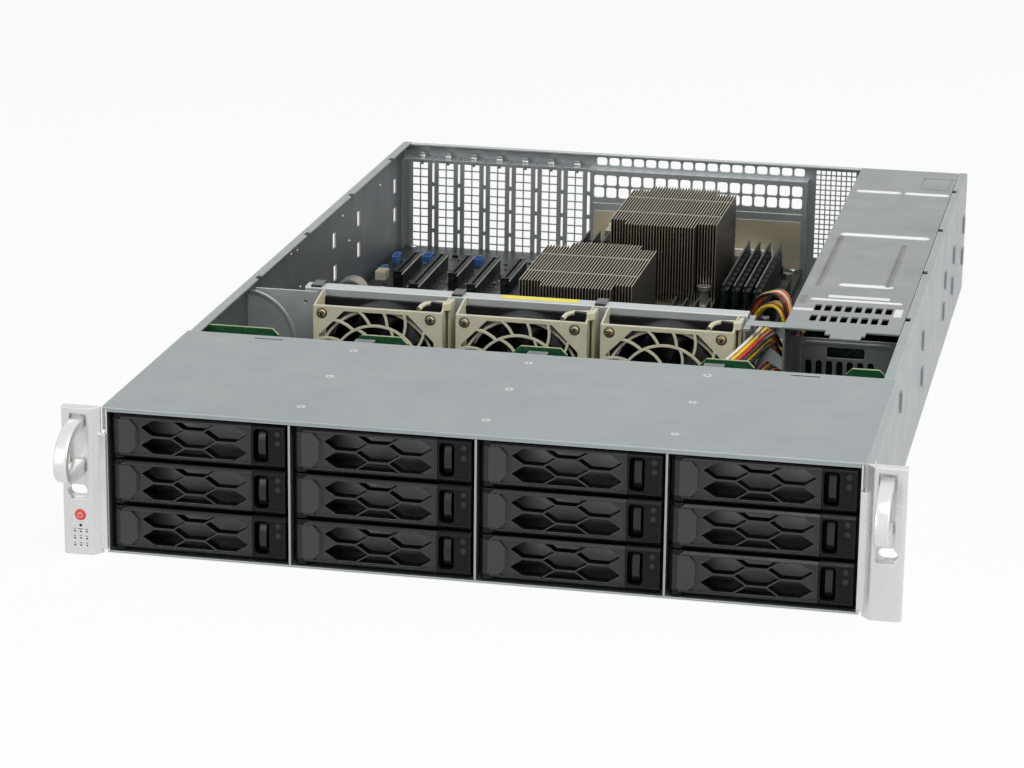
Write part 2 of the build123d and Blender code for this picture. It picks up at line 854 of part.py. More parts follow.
with BuildPart() as fan_rotor:
    for number in range(blade_count):
        turn = 360 / blade_count * number
        outward = (math.cos(math.radians(turn)), 0, math.sin(math.radians(turn)))
        blade_middle = front + (rotor_front + rotor_back) / 2
        for radius, angle in ((rotor_hub - 2, blade_root_angle), (rotor_tip + 1, blade_tip_angle)):
            middle = (outward[0] * radius, blade_middle, fan_height + outward[2] * radius)
            with BuildSketch(Plane(origin=middle, x_dir=(0, 1, 0), z_dir=outward)):
                Rectangle(blade_chord, blade_thickness, rotation=90 - angle)
        loft(ruled=True)
    rod_y(0, fan_height, front + rotor_front - 5, front + rotor_back + 5, rotor_tip, mode=Mode.INTERSECT)
    rod_y(0, fan_height, front + rotor_front, front + rotor_back, rotor_hub)
    rod_y(0, fan_height, front + rotor_front + 2, front + rotor_back + 1, shaft_radius + 0.05, mode=Mode.SUBTRACT)

for number, spot in enumerate(fan_spots, start=1):
    pieces = [placed(fan_housing, spot), placed(fan_duct, spot), placed(fan_plug, spot)]
    pieces += [
        placed(fan_screw, spot + x, 0, fan_height + z)
        for x in (-fan_screw_spot, fan_screw_spot)
        for z in (-fan_screw_spot, fan_screw_spot)
    ]
    save(f"fan_{number}", *pieces)
    save(f"fan_rotor_{number}", placed(fan_rotor, spot))

# Fan partition: the wall behind the fans with its folded top bar, clips and the left shroud
partition_left = -178.0
partition_right = 112.0
partition_front = 290.0
partition_rear = 302.0
partition_top = 86.5
partition_lip = 5.0
clip_width = 7.0
shroud_right = -168.0
shroud_front = 284.0
shroud_notch_width = 4.0
shroud_notch_top = 9.0
shroud_emboss_radius = 34.0
shroud_emboss_x = -217.0
shroud_emboss_z = 50.0
end_plate_right = 116.0
tie_strip_thickness = 0.8
psu_cage_left = 138.0

with BuildPart() as fan_wall:
    with BuildSketch(wall_plane(front + partition_front)):
        panel(partition_left, partition_right, sheet, partition_top)
        for spot in fan_spots:
            with Locations((spot, fan_height)):
                Circle(fan_bore, mode=Mode.SUBTRACT)
    extrude(amount=-sheet)
    inside(
        partition_left,
        partition_right,
        partition_front,
        partition_rear,
        partition_top - sheet,
        partition_top,
    )
    inside(
        partition_left,
        partition_right,
        partition_rear - sheet,
        partition_rear,
        partition_top - partition_lip,
        partition_top,
    )
    top_edges = fan_wall.edges().filter_by(Axis.X).group_by(Axis.Z)[-1]
    fillet(top_edges, radius=sheet - 0.1)
    inside(partition_left, partition_right, partition_front, partition_rear + 8, sheet, 2 * sheet)

with BuildPart() as partition_end:
    inside(partition_right, end_plate_right, partition_front - 20, partition_rear, sheet, partition_top - 3)
    inside(
        partition_right + sheet,
        end_plate_right + 1,
        partition_front - 21,
        partition_rear - 2,
        sheet - 1,
        partition_top - 5,
        mode=Mode.SUBTRACT,
    )
with BuildPart() as tie_strip:
    strip_top = partition_top - 3 + tie_strip_thickness
    inside(partition_right + 0.4, psu_cage_left, 276, 287, partition_top - 3, strip_top)

with BuildPart() as clip:
    inside(-clip_width / 2, clip_width / 2, partition_front, partition_rear, partition_top, body_height - 0.2)
    inside(
        -clip_width / 2,
        clip_width / 2,
        partition_rear,
        partition_rear + 2,
        partition_top - partition_lip,
        body_height - 0.2,
    )
    clip_edges = clip.edges().filter_by(Axis.X).group_by(Axis.Z)[-1]
    fillet(clip_edges, radius=0.6)
clip_spots = [fan_spots[0] - fan_pitch / 2] + [spot + fan_pitch / 2 for spot in fan_spots[:2]]

with BuildPart() as shroud_plate:
    with BuildSketch(wall_plane(front + shroud_front)):
        panel(-wall_in + running_gap, shroud_right, sheet, body_height - 3)
        panel(-wall_in + running_gap, -wall_in + 6, body_height - 6, body_height, mode=Mode.SUBTRACT)
        with Locations((shroud_right, 70)):
            Rectangle(6, 14, mode=Mode.SUBTRACT)
        with Locations((-176, 78), (-180, 24), (-174, 40)):
            Circle(1.3, mode=Mode.SUBTRACT)
        # Notch for the flat cable along the wall
        panel(-wall_in, -wall_in + shroud_notch_width, sheet, shroud_notch_top, mode=Mode.SUBTRACT)
    extrude(amount=-sheet)
    # A large round bead, raised towards the front
    with BuildSketch(wall_plane(front + shroud_front)):
        with Locations((shroud_emboss_x, shroud_emboss_z)):
            Circle(shroud_emboss_radius)
            Circle(shroud_emboss_radius - 1.6, mode=Mode.SUBTRACT)
        panel(-wall_out - 60, -wall_in + running_gap, 0, body_height, mode=Mode.SUBTRACT)
    extrude(amount=0.8)
    # Folds back to the partition
    fold_left = shroud_right - sheet
    inside(fold_left, shroud_right, shroud_front, partition_front, sheet, 60)
    inside(partition_left, shroud_right, shroud_front + sheet, partition_front, sheet, 2 * sheet)

with BuildPart() as fan_socket:
    inside(31, 38, fan_back - 15, fan_back - fan_flange - 0.3, sheet, 8.3)
sockets = [placed(fan_socket, spot) for spot in fan_spots]
clips = [placed(clip, spot) for spot in clip_spots]
save("fan_partition", fan_wall, partition_end, tie_strip, shroud_plate, *sockets, *clips)

# Motherboard: the board on standoffs, with its sockets, slots, rear ports and larger parts
board_left = -212.0
board_right = 98.0
board_near = 350.0
board_far = 707.0
board_base = 8.0
board_thickness = 1.6
board_top = board_base + board_thickness
board_middle = 512.0
standoff_spots = [
    (x, depth)
    for x in (board_left + 8, (board_left + board_right) / 2, board_right - 7)
    for depth in (board_near + 8, board_middle, board_far - 8)
]
standoff_radius = 3.0
dimm_length = 133.4
dimm_slot_length = 142.0
dimm_slot_width = 6.2
dimm_slot_top = board_top + 8.4
dimm_thickness = 1.3
dimm_bottom = board_top + 2.4
dimm_top = dimm_bottom + 30.0
dimm_pitch = 7.8
dimm_groups = (
    (62.6, 593.0, True),
    (35.6, 421.5, True),
    (-58.4, 593.0, True),
    (-92.0, 421.5, False),
)
cpu_spots = ((-14.9, 422.0), (14.5, 603.6))
cpu_socket_size = (58.0, 82.0)
cpu_top = board_top + 6.4
expansion_pitch = 20.27
first_expansion = -200.9
expansion_count = 7
connector_offset = 12.9
expansion_connectors = ((0, 584.0), (1, 552.0), (2, 589.0), (3, 561.0), (4, 584.0))
connector_rear = 645.0
connector_width = 7.4
connector_top = board_top + 11.4
connector_slot = 1.8

with BuildPart() as circuit_board:
    with BuildSketch(Plane.XY.offset(board_base)):
        panel(board_left, board_right, front + board_near, front + board_far)
        for x, depth in standoff_spots:
            with Locations((x, front + depth)):
                Circle(1.7, mode=Mode.SUBTRACT)
    extrude(amount=board_thickness)
with BuildPart() as standoff:
    post(0, 0, sheet, board_base, standoff_radius)
    post(0, 0, sheet + 2, board_base + 1, 1.25, mode=Mode.SUBTRACT)
board_pieces = [circuit_board]
board_pieces += [placed(standoff, x, front + depth) for x, depth in standoff_spots]

with BuildPart() as dimm_slot:
    with Locations((0, 0, (board_top + dimm_slot_top) / 2)):
        Box(dimm_slot_width, dimm_slot_length, dimm_slot_top - board_top)
    # Latches at the ends
    for end in (-1, 1):
        middle = end * (dimm_slot_length / 2 - 2.6)
        block(-2.2, 2.2, middle - 2.4, middle + 2.4, board_top, dimm_slot_top + 5.5)
    slot_half = (dimm_thickness + 0.3) / 2
    half_length = dimm_length / 2 + running_gap
    block(-slot_half, slot_half, -half_length, half_length, dimm_bottom - 0.1, 60, mode=Mode.SUBTRACT)
board_pieces += [
    placed(dimm_slot, x + place * dimm_pitch, front + depth)
    for x, depth, filled in dimm_groups
    for place in range(4)
]

for x, depth in cpu_spots:
    with BuildPart() as cpu_socket:
        width, length = cpu_socket_size
        half_width = width / 2
        half_length = length / 2
        inside(x - half_width, x + half_width, depth - half_length, depth + half_length, board_top, cpu_top)
        inside(x - 24, x + 24, depth - 30, depth + 30, cpu_top - 3, cpu_top + 1, mode=Mode.SUBTRACT)
    with BuildPart() as cpu:
        inside(x - 23.7, x + 23.7, depth - 29.7, depth + 29.7, cpu_top - 3, cpu_top)
    board_pieces += [cpu_socket, cpu]

for number, near in expansion_connectors:
    x = first_expansion + connector_offset + number * expansion_pitch
    half_slot = connector_slot / 2
    with BuildPart() as expansion_connector:
        left = x - connector_width / 2
        right = x + connector_width / 2
        inside(left, right, near, connector_rear, board_top, connector_top)
        inside(
            x - half_slot,
            x + half_slot,
            near + 2,
            connector_rear - 2,
            connector_top - 8,
            connector_top + 1,
            mode=Mode.SUBTRACT,
        )
        # Retaining tail at the near end
        inside(x - 1.5, x + 1.5, near - 5, near, board_top, connector_top - 3)
    board_pieces.append(expansion_connector)

# Smaller parts, as (left, right, near, far, height above the board)
board_blocks = (
    (-209.0, -201.0, 598.0, 610.0, 12.0),
    (-209.0, -205.0, 650.0, 664.0, 9.0),
    (-210.0, -206.0, 616.0, 626.0, 8.0),
    (-187.0, -181.0, 657.0, 669.0, 9.0),
    (-147.0, -141.0, 657.0, 669.0, 9.0),
    (-180.0, -146.0, 470.0, 504.0, 12.0),
    (-120.0, -106.0, 470.0, 484.0, 2.0),
    (84.0, 95.0, 392.0, 444.0, 13.6),
    (-198.0, -168.0, 360.0, 372.0, 10.0),
    (-150.0, -112.0, 360.0, 372.0, 10.0),
    (-199.0, -188.0, 446.0, 516.0, 9.0),
    (-70.0, -30.0, 500.0, 508.0, 8.0),
    (-10.0, 30.0, 500.0, 510.0, 8.0),
    (40.0, 80.0, 500.0, 508.0, 8.0),
    (90.0, 96.5, 560.0, 572.0, 10.0),
    (90.0, 96.5, 600.0, 640.0, 9.0),
    (-100.0, -88.0, 570.0, 640.0, 3.0),
    (-136.0, -120.0, 510.0, 526.0, 2.5),
)
for left, right, near, far, tall in board_blocks:
    with BuildPart() as board_block:
        inside(left, right, near, far, board_top, board_top + tall)
    board_pieces.append(board_block)

with BuildPart() as capacitor:
    post(0, 0, board_top, board_top + 9, 3.2)
capacitor_spots = [(-96.0 + 12 * place, 660.0) for place in range(3)]
capacitor_spots += [(-40.0 + 11 * place, 516.5) for place in range(8)]
capacitor_spots += [(-190.0 + 20.27 * place, 652.0) for place in range(5)]
capacitor_spots += [(92.0, 660.0), (92.0, 520.0), (92.0, 534.0)]
board_pieces += [placed(capacitor, x, front + depth) for x, depth in capacitor_spots]
with BuildPart() as coin_cell:
    post(-120, front + 440, board_top, board_top + 4.5, 10.5)
board_pieces.append(coin_cell)

# Rear ports, as (middle, width, height); they pass through the shield
port_near = 688.0
port_far = 709.8
ports = ((-44.0, 16.0, 26.0), (-26.0, 17.0, 13.5), (-4.0, 17.0, 13.5), (26.0, 31.0, 12.5), (58.0, 31.0, 12.5))
port_base = board_top
for middle, width, tall in ports:
    with BuildPart() as port:
        inside(middle - width / 2, middle + width / 2, port_near, port_far, port_base, port_base + tall)
        inside(
            middle - width / 2 + 1.2,
            middle + width / 2 - 1.2,
            port_far - 10,
            port_far + 1,
            port_base + 1.2,
            port_base + tall - 1.2,
            mode=Mode.SUBTRACT,
        )
    board_pieces.append(port)
save("motherboard", *board_pieces)

# Memory modules: thin boards with chips on both faces
with BuildPart() as memory_module:
    half_thickness = dimm_thickness / 2
    block(-half_thickness, half_thickness, -dimm_length / 2, dimm_length / 2, dimm_bottom, dimm_top)
    for place in range(9):
        chip_y = (place - 4) * 14.0
        block(-half_thickness - 0.9, half_thickness + 0.9, chip_y - 5, chip_y + 5, dimm_top - 16, dimm_top - 5)
save(
    "memory_modules",
    *[
        placed(memory_module, x + place * dimm_pitch, front + depth)
        for x, depth, filled in dimm_groups
        if filled
        for place in range(4)
    ],
)

# Heatsinks: upright fins from front to rear on a base plate, cut in at the corners
fin_top = 78.0
fin_base = cpu_top + 4.6
fin_pitch = 2.05
fin_thickness = 0.6
sink_width = 76.0
sink_core = 50.0
sink_length = 99.0
core_reach = 12.0
lock_strip_spots = (-22.0, 24.0)
spring_screw_spot = (31.0, 55.0)
fin_count = int(sink_width / fin_pitch) + 1


def make_heatsink(x, depth, core_shift):
    """One heatsink over its processor, as separate solids with its spring screws."""
    first_fin = x - (fin_count - 1) / 2 * fin_pitch
    fins = [first_fin + number * fin_pitch for number in range(fin_count)]
    near = depth - sink_length / 2
    far = depth + sink_length / 2
    with BuildPart() as sink:
        with BuildSketch(wall_plane(front + near)):
            panel(x - sink_width / 2, x + sink_width / 2, cpu_top, fin_base)
            for fin in fins:
                panel(fin - fin_thickness / 2, fin + fin_thickness / 2, fin_base, fin_top)
        extrude(amount=-sink_length)
        with BuildSketch(wall_plane(front + near - core_reach)):
            core_left = x + core_shift - sink_core / 2
            core_right = x + core_shift + sink_core / 2
            for fin in fins:
                if core_left < fin < core_right:
                    panel(fin - fin_thickness / 2, fin + fin_thickness / 2, fin_base + 8, fin_top)
        extrude(amount=-(sink_length + 2 * core_reach))
        # Lock strips across the fins
        for spot in lock_strip_spots:
            inside(
                fins[0] - fin_thickness / 2,
                fins[-1] + fin_thickness / 2,
                depth + spot,
                depth + spot + 1.6,
                fin_top - 1.2,
                fin_top - 0.3,
            )
        # Corner ears for the spring screws
        screw_x, screw_y = spring_screw_spot
        inside(x - sink_width / 2, x + sink_width / 2, near - core_reach, far + core_reach, cpu_top, fin_base)
    with BuildPart() as spring_screw:
        for side_x in (-1, 1):
            for side_y in (-1, 1):
                screw_at = (x + side_x * screw_x, front + depth + side_y * screw_y)
                post(*screw_at, fin_base, fin_base + 11, 3.6)
                post(*screw_at, fin_base + 11, fin_base + 14, 5.0)
    return sink, spring_screw


sink_pieces = []
for (x, depth), shift in zip(cpu_spots, (1.6, -0.8)):
    sink_pieces += make_heatsink(x, depth, shift)
save("cpu_heatsinks", *sink_pieces)

# Rear panel: one folded sheet with the expansion openings, vents and the port shield
panel_depth = 711.0
panel_near = panel_depth - sheet
rear_near = body_depth - sheet
shelf_low = 75.8
shelf_high = shelf_low + sheet
expansion_opening = 14.4
expansion_low = 6.0
expansion_high = shelf_low - 0.6
web_slot_width = 2.3
web_slot_length = 15.4
web_slot_pitch = 18.3
web_slot_high = 67.4
vent_left = -65.6
vent_right = 95.7
vent_columns = 17
vent_hole = 7.9
vent_corner = 1.8
vent_pitch = (vent_right - vent_left) / vent_columns
vent_rows = (69.3, 59.9)
riser_vent_height = 6.0
riser_vent_middle = 81.6
shield_left = -62.7
shield_right = 92.6
shield_low = 4.0
shield_high = 46.0
shield_rim = 2.6
step_left = 98.5
mesh_left = 103.4
mesh_right = 134.3
mesh_low = 15.6
mesh_high = 84.4
mesh_hole = 3.0
mesh_columns = 8
mesh_rows = 18
cover_plate_width = 18.6
cover_plate_thickness = 1.0
cover_mesh_hole = 5.4
cover_mesh_pitch = 6.3
cover_mesh_columns = 2
cover_mesh_rows = 11
cover_mesh_middle = 42.0
cover_tab_depth = 9.0
tab_screw_inset = 5.0
tab_screw_hole = 1.6
top_fold = 6.0
port_gap = 0.4
panel_top = body_height - 0.3

with BuildPart() as rear_sheet:
    left_edge = -wall_in + running_gap
    right_edge = psu_cage_left - 0.2
    notch_right = -wall_out + wall_flange_width + running_gap
    # Main plane, shelf, riser, step and the plane beside the power supplies
    inside(left_edge, step_left, panel_near, panel_depth, sheet + 0.1, shelf_high)
    inside(left_edge, step_left, panel_near, body_depth, shelf_low, shelf_high)
    inside(left_edge, right_edge, rear_near, body_depth, shelf_low, cover_under - 0.1)
    inside(notch_right, right_edge, rear_near, body_depth, shelf_low, panel_top)
    inside(notch_right, right_edge, body_depth - top_fold, body_depth, panel_top - sheet, panel_top)
    inside(step_left - sheet, step_left, panel_near, body_depth, sheet + 0.1, shelf_high)
    inside(step_left - sheet, right_edge, rear_near, body_depth, sheet + 0.1, panel_top)
    # Rim over the shield's opening, raised towards the front
    rim_top = shield_high + shield_rim + 3
    rim_left = shield_left - shield_rim
    rim_right = shield_right + shield_rim
    inside(rim_left, rim_right, panel_near - 0.8, panel_near, shield_high, rim_top)
    for number in range(expansion_count):
        screw_x = first_expansion + number * expansion_pitch
        screw_y = front + panel_near + tab_screw_inset
        post(screw_x, screw_y, shelf_low - 1, shelf_high + 1, tab_screw_hole, mode=Mode.SUBTRACT)
    # Openings of the main plane
    with BuildSketch(wall_plane(front + panel_near)):
        for number in range(expansion_count):
            x = first_expansion + number * expansion_pitch
            half_opening = expansion_opening / 2
            panel(x - half_opening, x + half_opening, expansion_low, expansion_high)
            for step in range(4):
                with Locations((x + expansion_pitch / 2, web_slot_high - step * web_slot_pitch)):
                    SlotOverall(web_slot_length, web_slot_width, rotation=90)
        for height in vent_rows:
            for column in range(vent_columns):
                with Locations((vent_left + (column + 0.5) * vent_pitch, height)):
                    RectangleRounded(vent_hole, vent_hole, vent_corner)
        panel(shield_left, shield_right, shield_low, shield_high)
    extrude(amount=-sheet, mode=Mode.SUBTRACT)
    # Openings of the rear plane
    with BuildSketch(wall_plane(front + rear_near)):
        for column in range(vent_columns):
            with Locations((vent_left + (column + 0.5) * vent_pitch, riser_vent_middle)):
                RectangleRounded(vent_hole, riser_vent_height, vent_corner)
        mesh_pitch_x = (mesh_right - mesh_left) / mesh_columns
        mesh_pitch_z = (mesh_high - mesh_low) / mesh_rows
        with Locations(((mesh_left + mesh_right) / 2, (mesh_low + mesh_high) / 2)):
            with GridLocations(mesh_pitch_x, mesh_pitch_z, mesh_columns, mesh_rows):
                Rectangle(mesh_hole, mesh_hole)
    extrude(amount=-sheet, mode=Mode.SUBTRACT)

with BuildPart() as port_shield:
    shield_near = panel_near - cover_plate_thickness
    with BuildSketch(wall_plane(front + shield_near)):
        panel(shield_left - 2, shield_right + 2, shield_low - 2, shield_high - 0.1)
        for middle, width, tall in ports:
            left = middle - width / 2 - port_gap
            right = middle + width / 2 + port_gap
            panel(left, right, port_base - port_gap, port_base + tall + port_gap, mode=Mode.SUBTRACT)
    extrude(amount=-cover_plate_thickness)
save("rear_panel", rear_sheet, port_shield)

# Expansion slot covers: perforated blanks whose tabs rest on the shelf
with BuildPart() as slot_cover:
    cover_near = panel_near - cover_plate_thickness
    with BuildSketch(wall_plane(front + cover_near)):
        half_cover = cover_plate_width / 2
        panel(-half_cover, half_cover, 3.0, shelf_high + cover_plate_thickness)
        with Locations((0, cover_mesh_middle)):
            with GridLocations(cover_mesh_pitch, cover_mesh_pitch, cover_mesh_columns, cover_mesh_rows):
                Rectangle(cover_mesh_hole, cover_mesh_hole, mode=Mode.SUBTRACT)
    extrude(amount=-cover_plate_thickness)
    tab_top = shelf_high + cover_plate_thickness
    inside(-half_cover, half_cover, cover_near, cover_near + cover_tab_depth + 2, shelf_high, tab_top)
    screw_y = front + panel_near + tab_screw_inset
    post(0, screw_y, shelf_high - 1, tab_top + 1, tab_screw_hole, mode=Mode.SUBTRACT)
save(
    "slot_covers",
    *[placed(slot_cover, first_expansion + number * expansion_pitch) for number in range(expansion_count)],
)

# Power supply cage: left wall, top cover, front plate, the shelf between the bays and the board
psu_cover_right = 210.6
psu_cage_front = 263.0
psu_cage_rear = 720.4
psu_tongue = (169.0, 188.0, 245.0)
psu_cover_slot_rows = (290.0, 315.5)
psu_cover_slot_size = (4.4, 15.0)
psu_cover_slot_first = 153.6
psu_cover_slot_pitch = 6.47
psu_cover_slots = 8
psu_front_plate = 300.0
psu_front_left = 149.0
psu_front_right = 205.0
psu_front_top = 72.0
psu_board_depth = 398.0
psu_board_thickness = 2.4
psu_near = 412.0
psu_width = 75.4
psu_height = 39.8
psu_left = psu_cage_left + sheet + 0.4
psu_rests = (2.0, 44.0)
psu_shelf_low = 42.3
cable_outlet_back = 5.0
cable_window = (352.0, 396.0, 46.0, 66.0)
low_cable_window = (316.0, 346.0, 22.0, 66.0)
groove_depth = 0.5
groove_width = 2.0


def groove(points):
    """A pressed line in the top cover along a path of points."""
    half = groove_width / 2
    bottom = body_height - groove_depth
    for (x0, depth0), (x1, depth1) in zip(points[:-1], points[1:]):
        left = min(x0, x1) - half
        right = max(x0, x1) + half
        near = min(depth0, depth1) - half
        far = max(depth0, depth1) + half
        inside(left, right, near, far, bottom, body_height + 1, mode=Mode.SUBTRACT)


with BuildPart() as psu_shell:
    with BuildSketch(side_plane(psu_cage_left)):
        panel(front + psu_cage_front, front + psu_cage_rear, sheet + 0.1, cover_under)
        for near, far, low, high in (cable_window, low_cable_window):
            panel(front + near, front + far, low, high, mode=Mode.SUBTRACT)
    extrude(amount=sheet)
    inside(psu_cage_left, psu_cover_right, psu_cage_front, psu_cage_rear, cover_under, body_height)
    tongue_left, tongue_right, tongue_front = psu_tongue
    inside(tongue_left, tongue_right, tongue_front, psu_cage_front, cover_under, body_height)
    inside(tongue_left - 4, tongue_right + 2, tongue_front + 9, psu_cage_front, cover_under, body_height)
    with BuildSketch(Plane.XY.offset(cover_under)):
        for depth in psu_cover_slot_rows:
            for number in range(psu_cover_slots):
                with Locations((psu_cover_slot_first + number * psu_cover_slot_pitch, front + depth)):
                    RectangleRounded(*psu_cover_slot_size, 1.0)
    extrude(amount=sheet, mode=Mode.SUBTRACT)
    groove(((164.0, 375.0), (192.0, 375.0)))
    groove(((147.0, 369.0), (147.0, 505.0)))
    groove(((192.0, 376.0), (192.0, 490.0)))
    groove(((150.0, 512.0), (203.0, 512.0)))
    groove(((146.0, 645.0), (171.0, 645.0)))
    groove(((181.0, 645.0), (206.0, 645.0)))
    groove(((188.0, 662.0), (208.0, 662.0), (208.0, 697.0), (188.0, 697.0), (188.0, 662.0)))
    groove(((149.0, 336.0), (203.0, 336.0)))
    # Shelf between the two bays
    inside(
        psu_cage_left,
        wall_in - running_gap,
        psu_near - 2,
        psu_cage_rear,
        psu_shelf_low,
        psu_shelf_low + 1.0,
    )

with BuildPart() as psu_front_sheet:
    with BuildSketch(wall_plane(front + psu_front_plate)):
        panel(psu_cage_left + sheet, wall_in - running_gap, sheet + 0.1, psu_front_top)
        with Locations((174, 63)):
            RectangleRounded(24, 7, 1.5, mode=Mode.SUBTRACT)
        for number in range(7):
            for height in (50.0, 28.0):
                with Locations((150.5 + 6.6 * number, height)):
                    SlotOverall(15, 4.2, rotation=90, mode=Mode.SUBTRACT)
    extrude(amount=-sheet)
    # Raised border
    with BuildSketch(wall_plane(front + psu_front_plate)):
        with Locations(((psu_front_left + psu_front_right) / 2 - 2, 38)):
            RectangleRounded(62, 64, 6)
            RectangleRounded(59, 61, 4.5, mode=Mode.SUBTRACT)
    extrude(amount=0.8)

with BuildPart() as psu_board:
    inside(
        psu_cage_left + sheet + 0.3,
        wall_in - running_gap,
        psu_board_depth,
        psu_board_depth + psu_board_thickness,
        3,
        84,
    )
psu_sockets = []
for rest in psu_rests:
    with BuildPart() as psu_socket:
        inside(
            psu_left + 10,
            psu_left + 60,
            psu_board_depth + psu_board_thickness,
            psu_near - 0.3,
            rest + 12,
            rest + 24,
        )
    psu_sockets.append(psu_socket)
with BuildPart() as cable_outlet:
    inside(
        psu_cage_left + sheet + cable_outlet_back,
        psu_cage_left + 14,
        cable_window[0] - 2,
        psu_board_depth,
        cable_window[2] - 2,
        cable_window[3] + 2,
    )
with BuildPart() as low_cable_outlet:
    inside(
        psu_cage_left + sheet + cable_outlet_back,
        psu_cage_left + 14,
        low_cable_window[0] - 2,
        cable_window[0] - 2,
        low_cable_window[2] - 2,
        low_cable_window[3] + 0.5,
    )
with BuildPart() as front_board:
    inside(150, 200, psu_front_plate + 8, psu_front_plate + 9.6, sheet + running_gap, 68)
save("psu_cage", psu_shell, psu_front_sheet, psu_board, *psu_sockets, cable_outlet, low_cable_outlet, front_board)

# Power supplies: a sheet case with a fan grille, an inlet, a pull handle and a latch
psu_right = psu_left + psu_width
psu_face = body_depth
psu_grille_x = psu_left + 22.0
psu_grille_radius = 15.5
psu_inlet_x = psu_left + 56.0
psu_inlet_size = (27.0, 19.5)
psu_inlet_depth = 17.0
psu_handle_rod = 2.0
psu_handle_x = psu_left + 38.8
psu_handle_half = 13.0


def make_psu(rest):
    middle = rest + psu_height / 2
    with BuildPart() as case:
        inside(psu_left, psu_right, psu_near, psu_face, rest, rest + psu_height)
        # Finger slots of the grille
        with BuildSketch(wall_plane(front + psu_face)):
            with Locations((psu_grille_x, middle)):
                for radius in (14.5, 10.5, 6.5):
                    Circle(radius)
                    Circle(radius - 2.4, mode=Mode.SUBTRACT)
                Rectangle(2 * psu_grille_radius, 1.8, mode=Mode.SUBTRACT)
                Rectangle(1.8, 2 * psu_grille_radius, mode=Mode.SUBTRACT)
        extrude(amount=3.0, mode=Mode.SUBTRACT)
        inlet_width, inlet_height = psu_inlet_size
        inside(
            psu_inlet_x - inlet_width / 2,
            psu_inlet_x + inlet_width / 2,
            psu_face - psu_inlet_depth,
            psu_face + 1,
            middle - inlet_height / 2 + 5,
            middle + inlet_height / 2 + 5,
            mode=Mode.SUBTRACT,
        )
        # Connector tongue opening at the inner end
        inside(psu_left + 9, psu_left + 61, psu_near - 1, psu_near + 6, rest + 11, rest + 25, mode=Mode.SUBTRACT)
    with BuildPart() as inlet:
        # Six-sided inlet with three pins
        with BuildSketch(wall_plane(front + psu_face - psu_inlet_depth)):
            with Locations((psu_inlet_x, middle + 5)):
                Rectangle(inlet_width - 0.1, inlet_height - 0.1)
        extrude(amount=psu_inlet_depth - 0.5)
        with BuildSketch(wall_plane(front + psu_face - 0.5)):
            Polygon(
                (psu_inlet_x - 12, middle + 12),
                (psu_inlet_x + 12, middle + 12),
                (psu_inlet_x + 12, middle + 0.5),
                (psu_inlet_x + 7, middle - 3),
                (psu_inlet_x - 7, middle - 3),
                (psu_inlet_x - 12, middle + 0.5),
                align=None,
            )
        extrude(amount=14, mode=Mode.SUBTRACT)
    with BuildPart() as handle:
        with BuildSketch(Plane.XY.offset(rest + 4)):
            with BuildLine():
                FilletPolyline(
                    (psu_handle_x - psu_handle_half, front + psu_face),
                    (psu_handle_x - psu_handle_half, front + psu_face + psu_reach),
                    (psu_handle_x + psu_handle_half, front + psu_face + psu_reach),
                    (psu_handle_x + psu_handle_half, front + psu_face),
                    radius=[8, 8],
                )
                Line(
                    (psu_handle_x + psu_handle_half, front + psu_face),
                    (psu_handle_x - psu_handle_half, front + psu_face),
                )
            make_face()
            with BuildLine():
                inner_half = psu_handle_half - 2 * psu_handle_rod
                inner_reach = psu_reach - 2 * psu_handle_rod
                FilletPolyline(
                    (psu_handle_x - inner_half, front + psu_face),
                    (psu_handle_x - inner_half, front + psu_face + inner_reach),
                    (psu_handle_x + inner_half, front + psu_face + inner_reach),
                    (psu_handle_x + inner_half, front + psu_face),
                    radius=[4, 4],
                )
                Line(
                    (psu_handle_x + inner_half, front + psu_face),
                    (psu_handle_x - inner_half, front + psu_face),
                )
            make_face(mode=Mode.SUBTRACT)
        extrude(amount=4)
    with BuildPart() as latch:
        inside(psu_right - 3.4, psu_right - 1.8, psu_face, psu_face + 14, middle + 1, middle + 13)
        inside(psu_right - 8.4, psu_right - 1.8, psu_face + 12.4, psu_face + 14, middle + 1, middle + 13)
    with BuildPart() as lamp_window:
        rod_y(psu_left + 38.8, middle + 14, front + psu_face, front + psu_face + 0.8, 1.6)
    return case, inlet, handle, latch, lamp_window


save("psu_lower", *make_psu(psu_rests[0]))
save("psu_upper", *make_psu(psu_rests[1]))

# Power cables: single wires from the cage's outlets to the board and to the backplane
wire_radius = 1.1
outlet_face = psu_cage_left + sheet + cable_outlet_back
board_plug_top = board_top + 13.6
header_rear = backplane_depth + backplane_thickness + 12


def corner_radii(points):
    """The largest fair arc at each corner of a route."""
    radii = []
    for before, corner, after in zip(points[:-2], points[1:-1], points[2:]):
        run_in = Vector(*corner) - Vector(*before)
        run_out = Vector(*after) - Vector(*corner)
        half_turn = math.radians(run_in.get_angle(run_out)) / 2
        radii.append(0.45 * min(run_in.length, run_out.length) / math.tan(half_turn))
    return radii


def make_wire(points):
    """A round wire along straight runs joined by tangent arcs."""
    route = [(x, front + depth, z) for x, depth, z in points]
    radii = corner_radii(route)
    with BuildPart() as wire:
        with BuildLine():
            path = FilletPolyline(*route, radius=radii)
        with BuildSketch(Plane(origin=path @ 0, z_dir=path % 0)):
            Circle(wire_radius)
        sweep(path=path)
    expected = math.pi * wire_radius**2 * path.length
    print("wire radii", [round(radius, 1) for radius in radii], "volume share", wire.part.volume / expected)
    return wire


wires = []
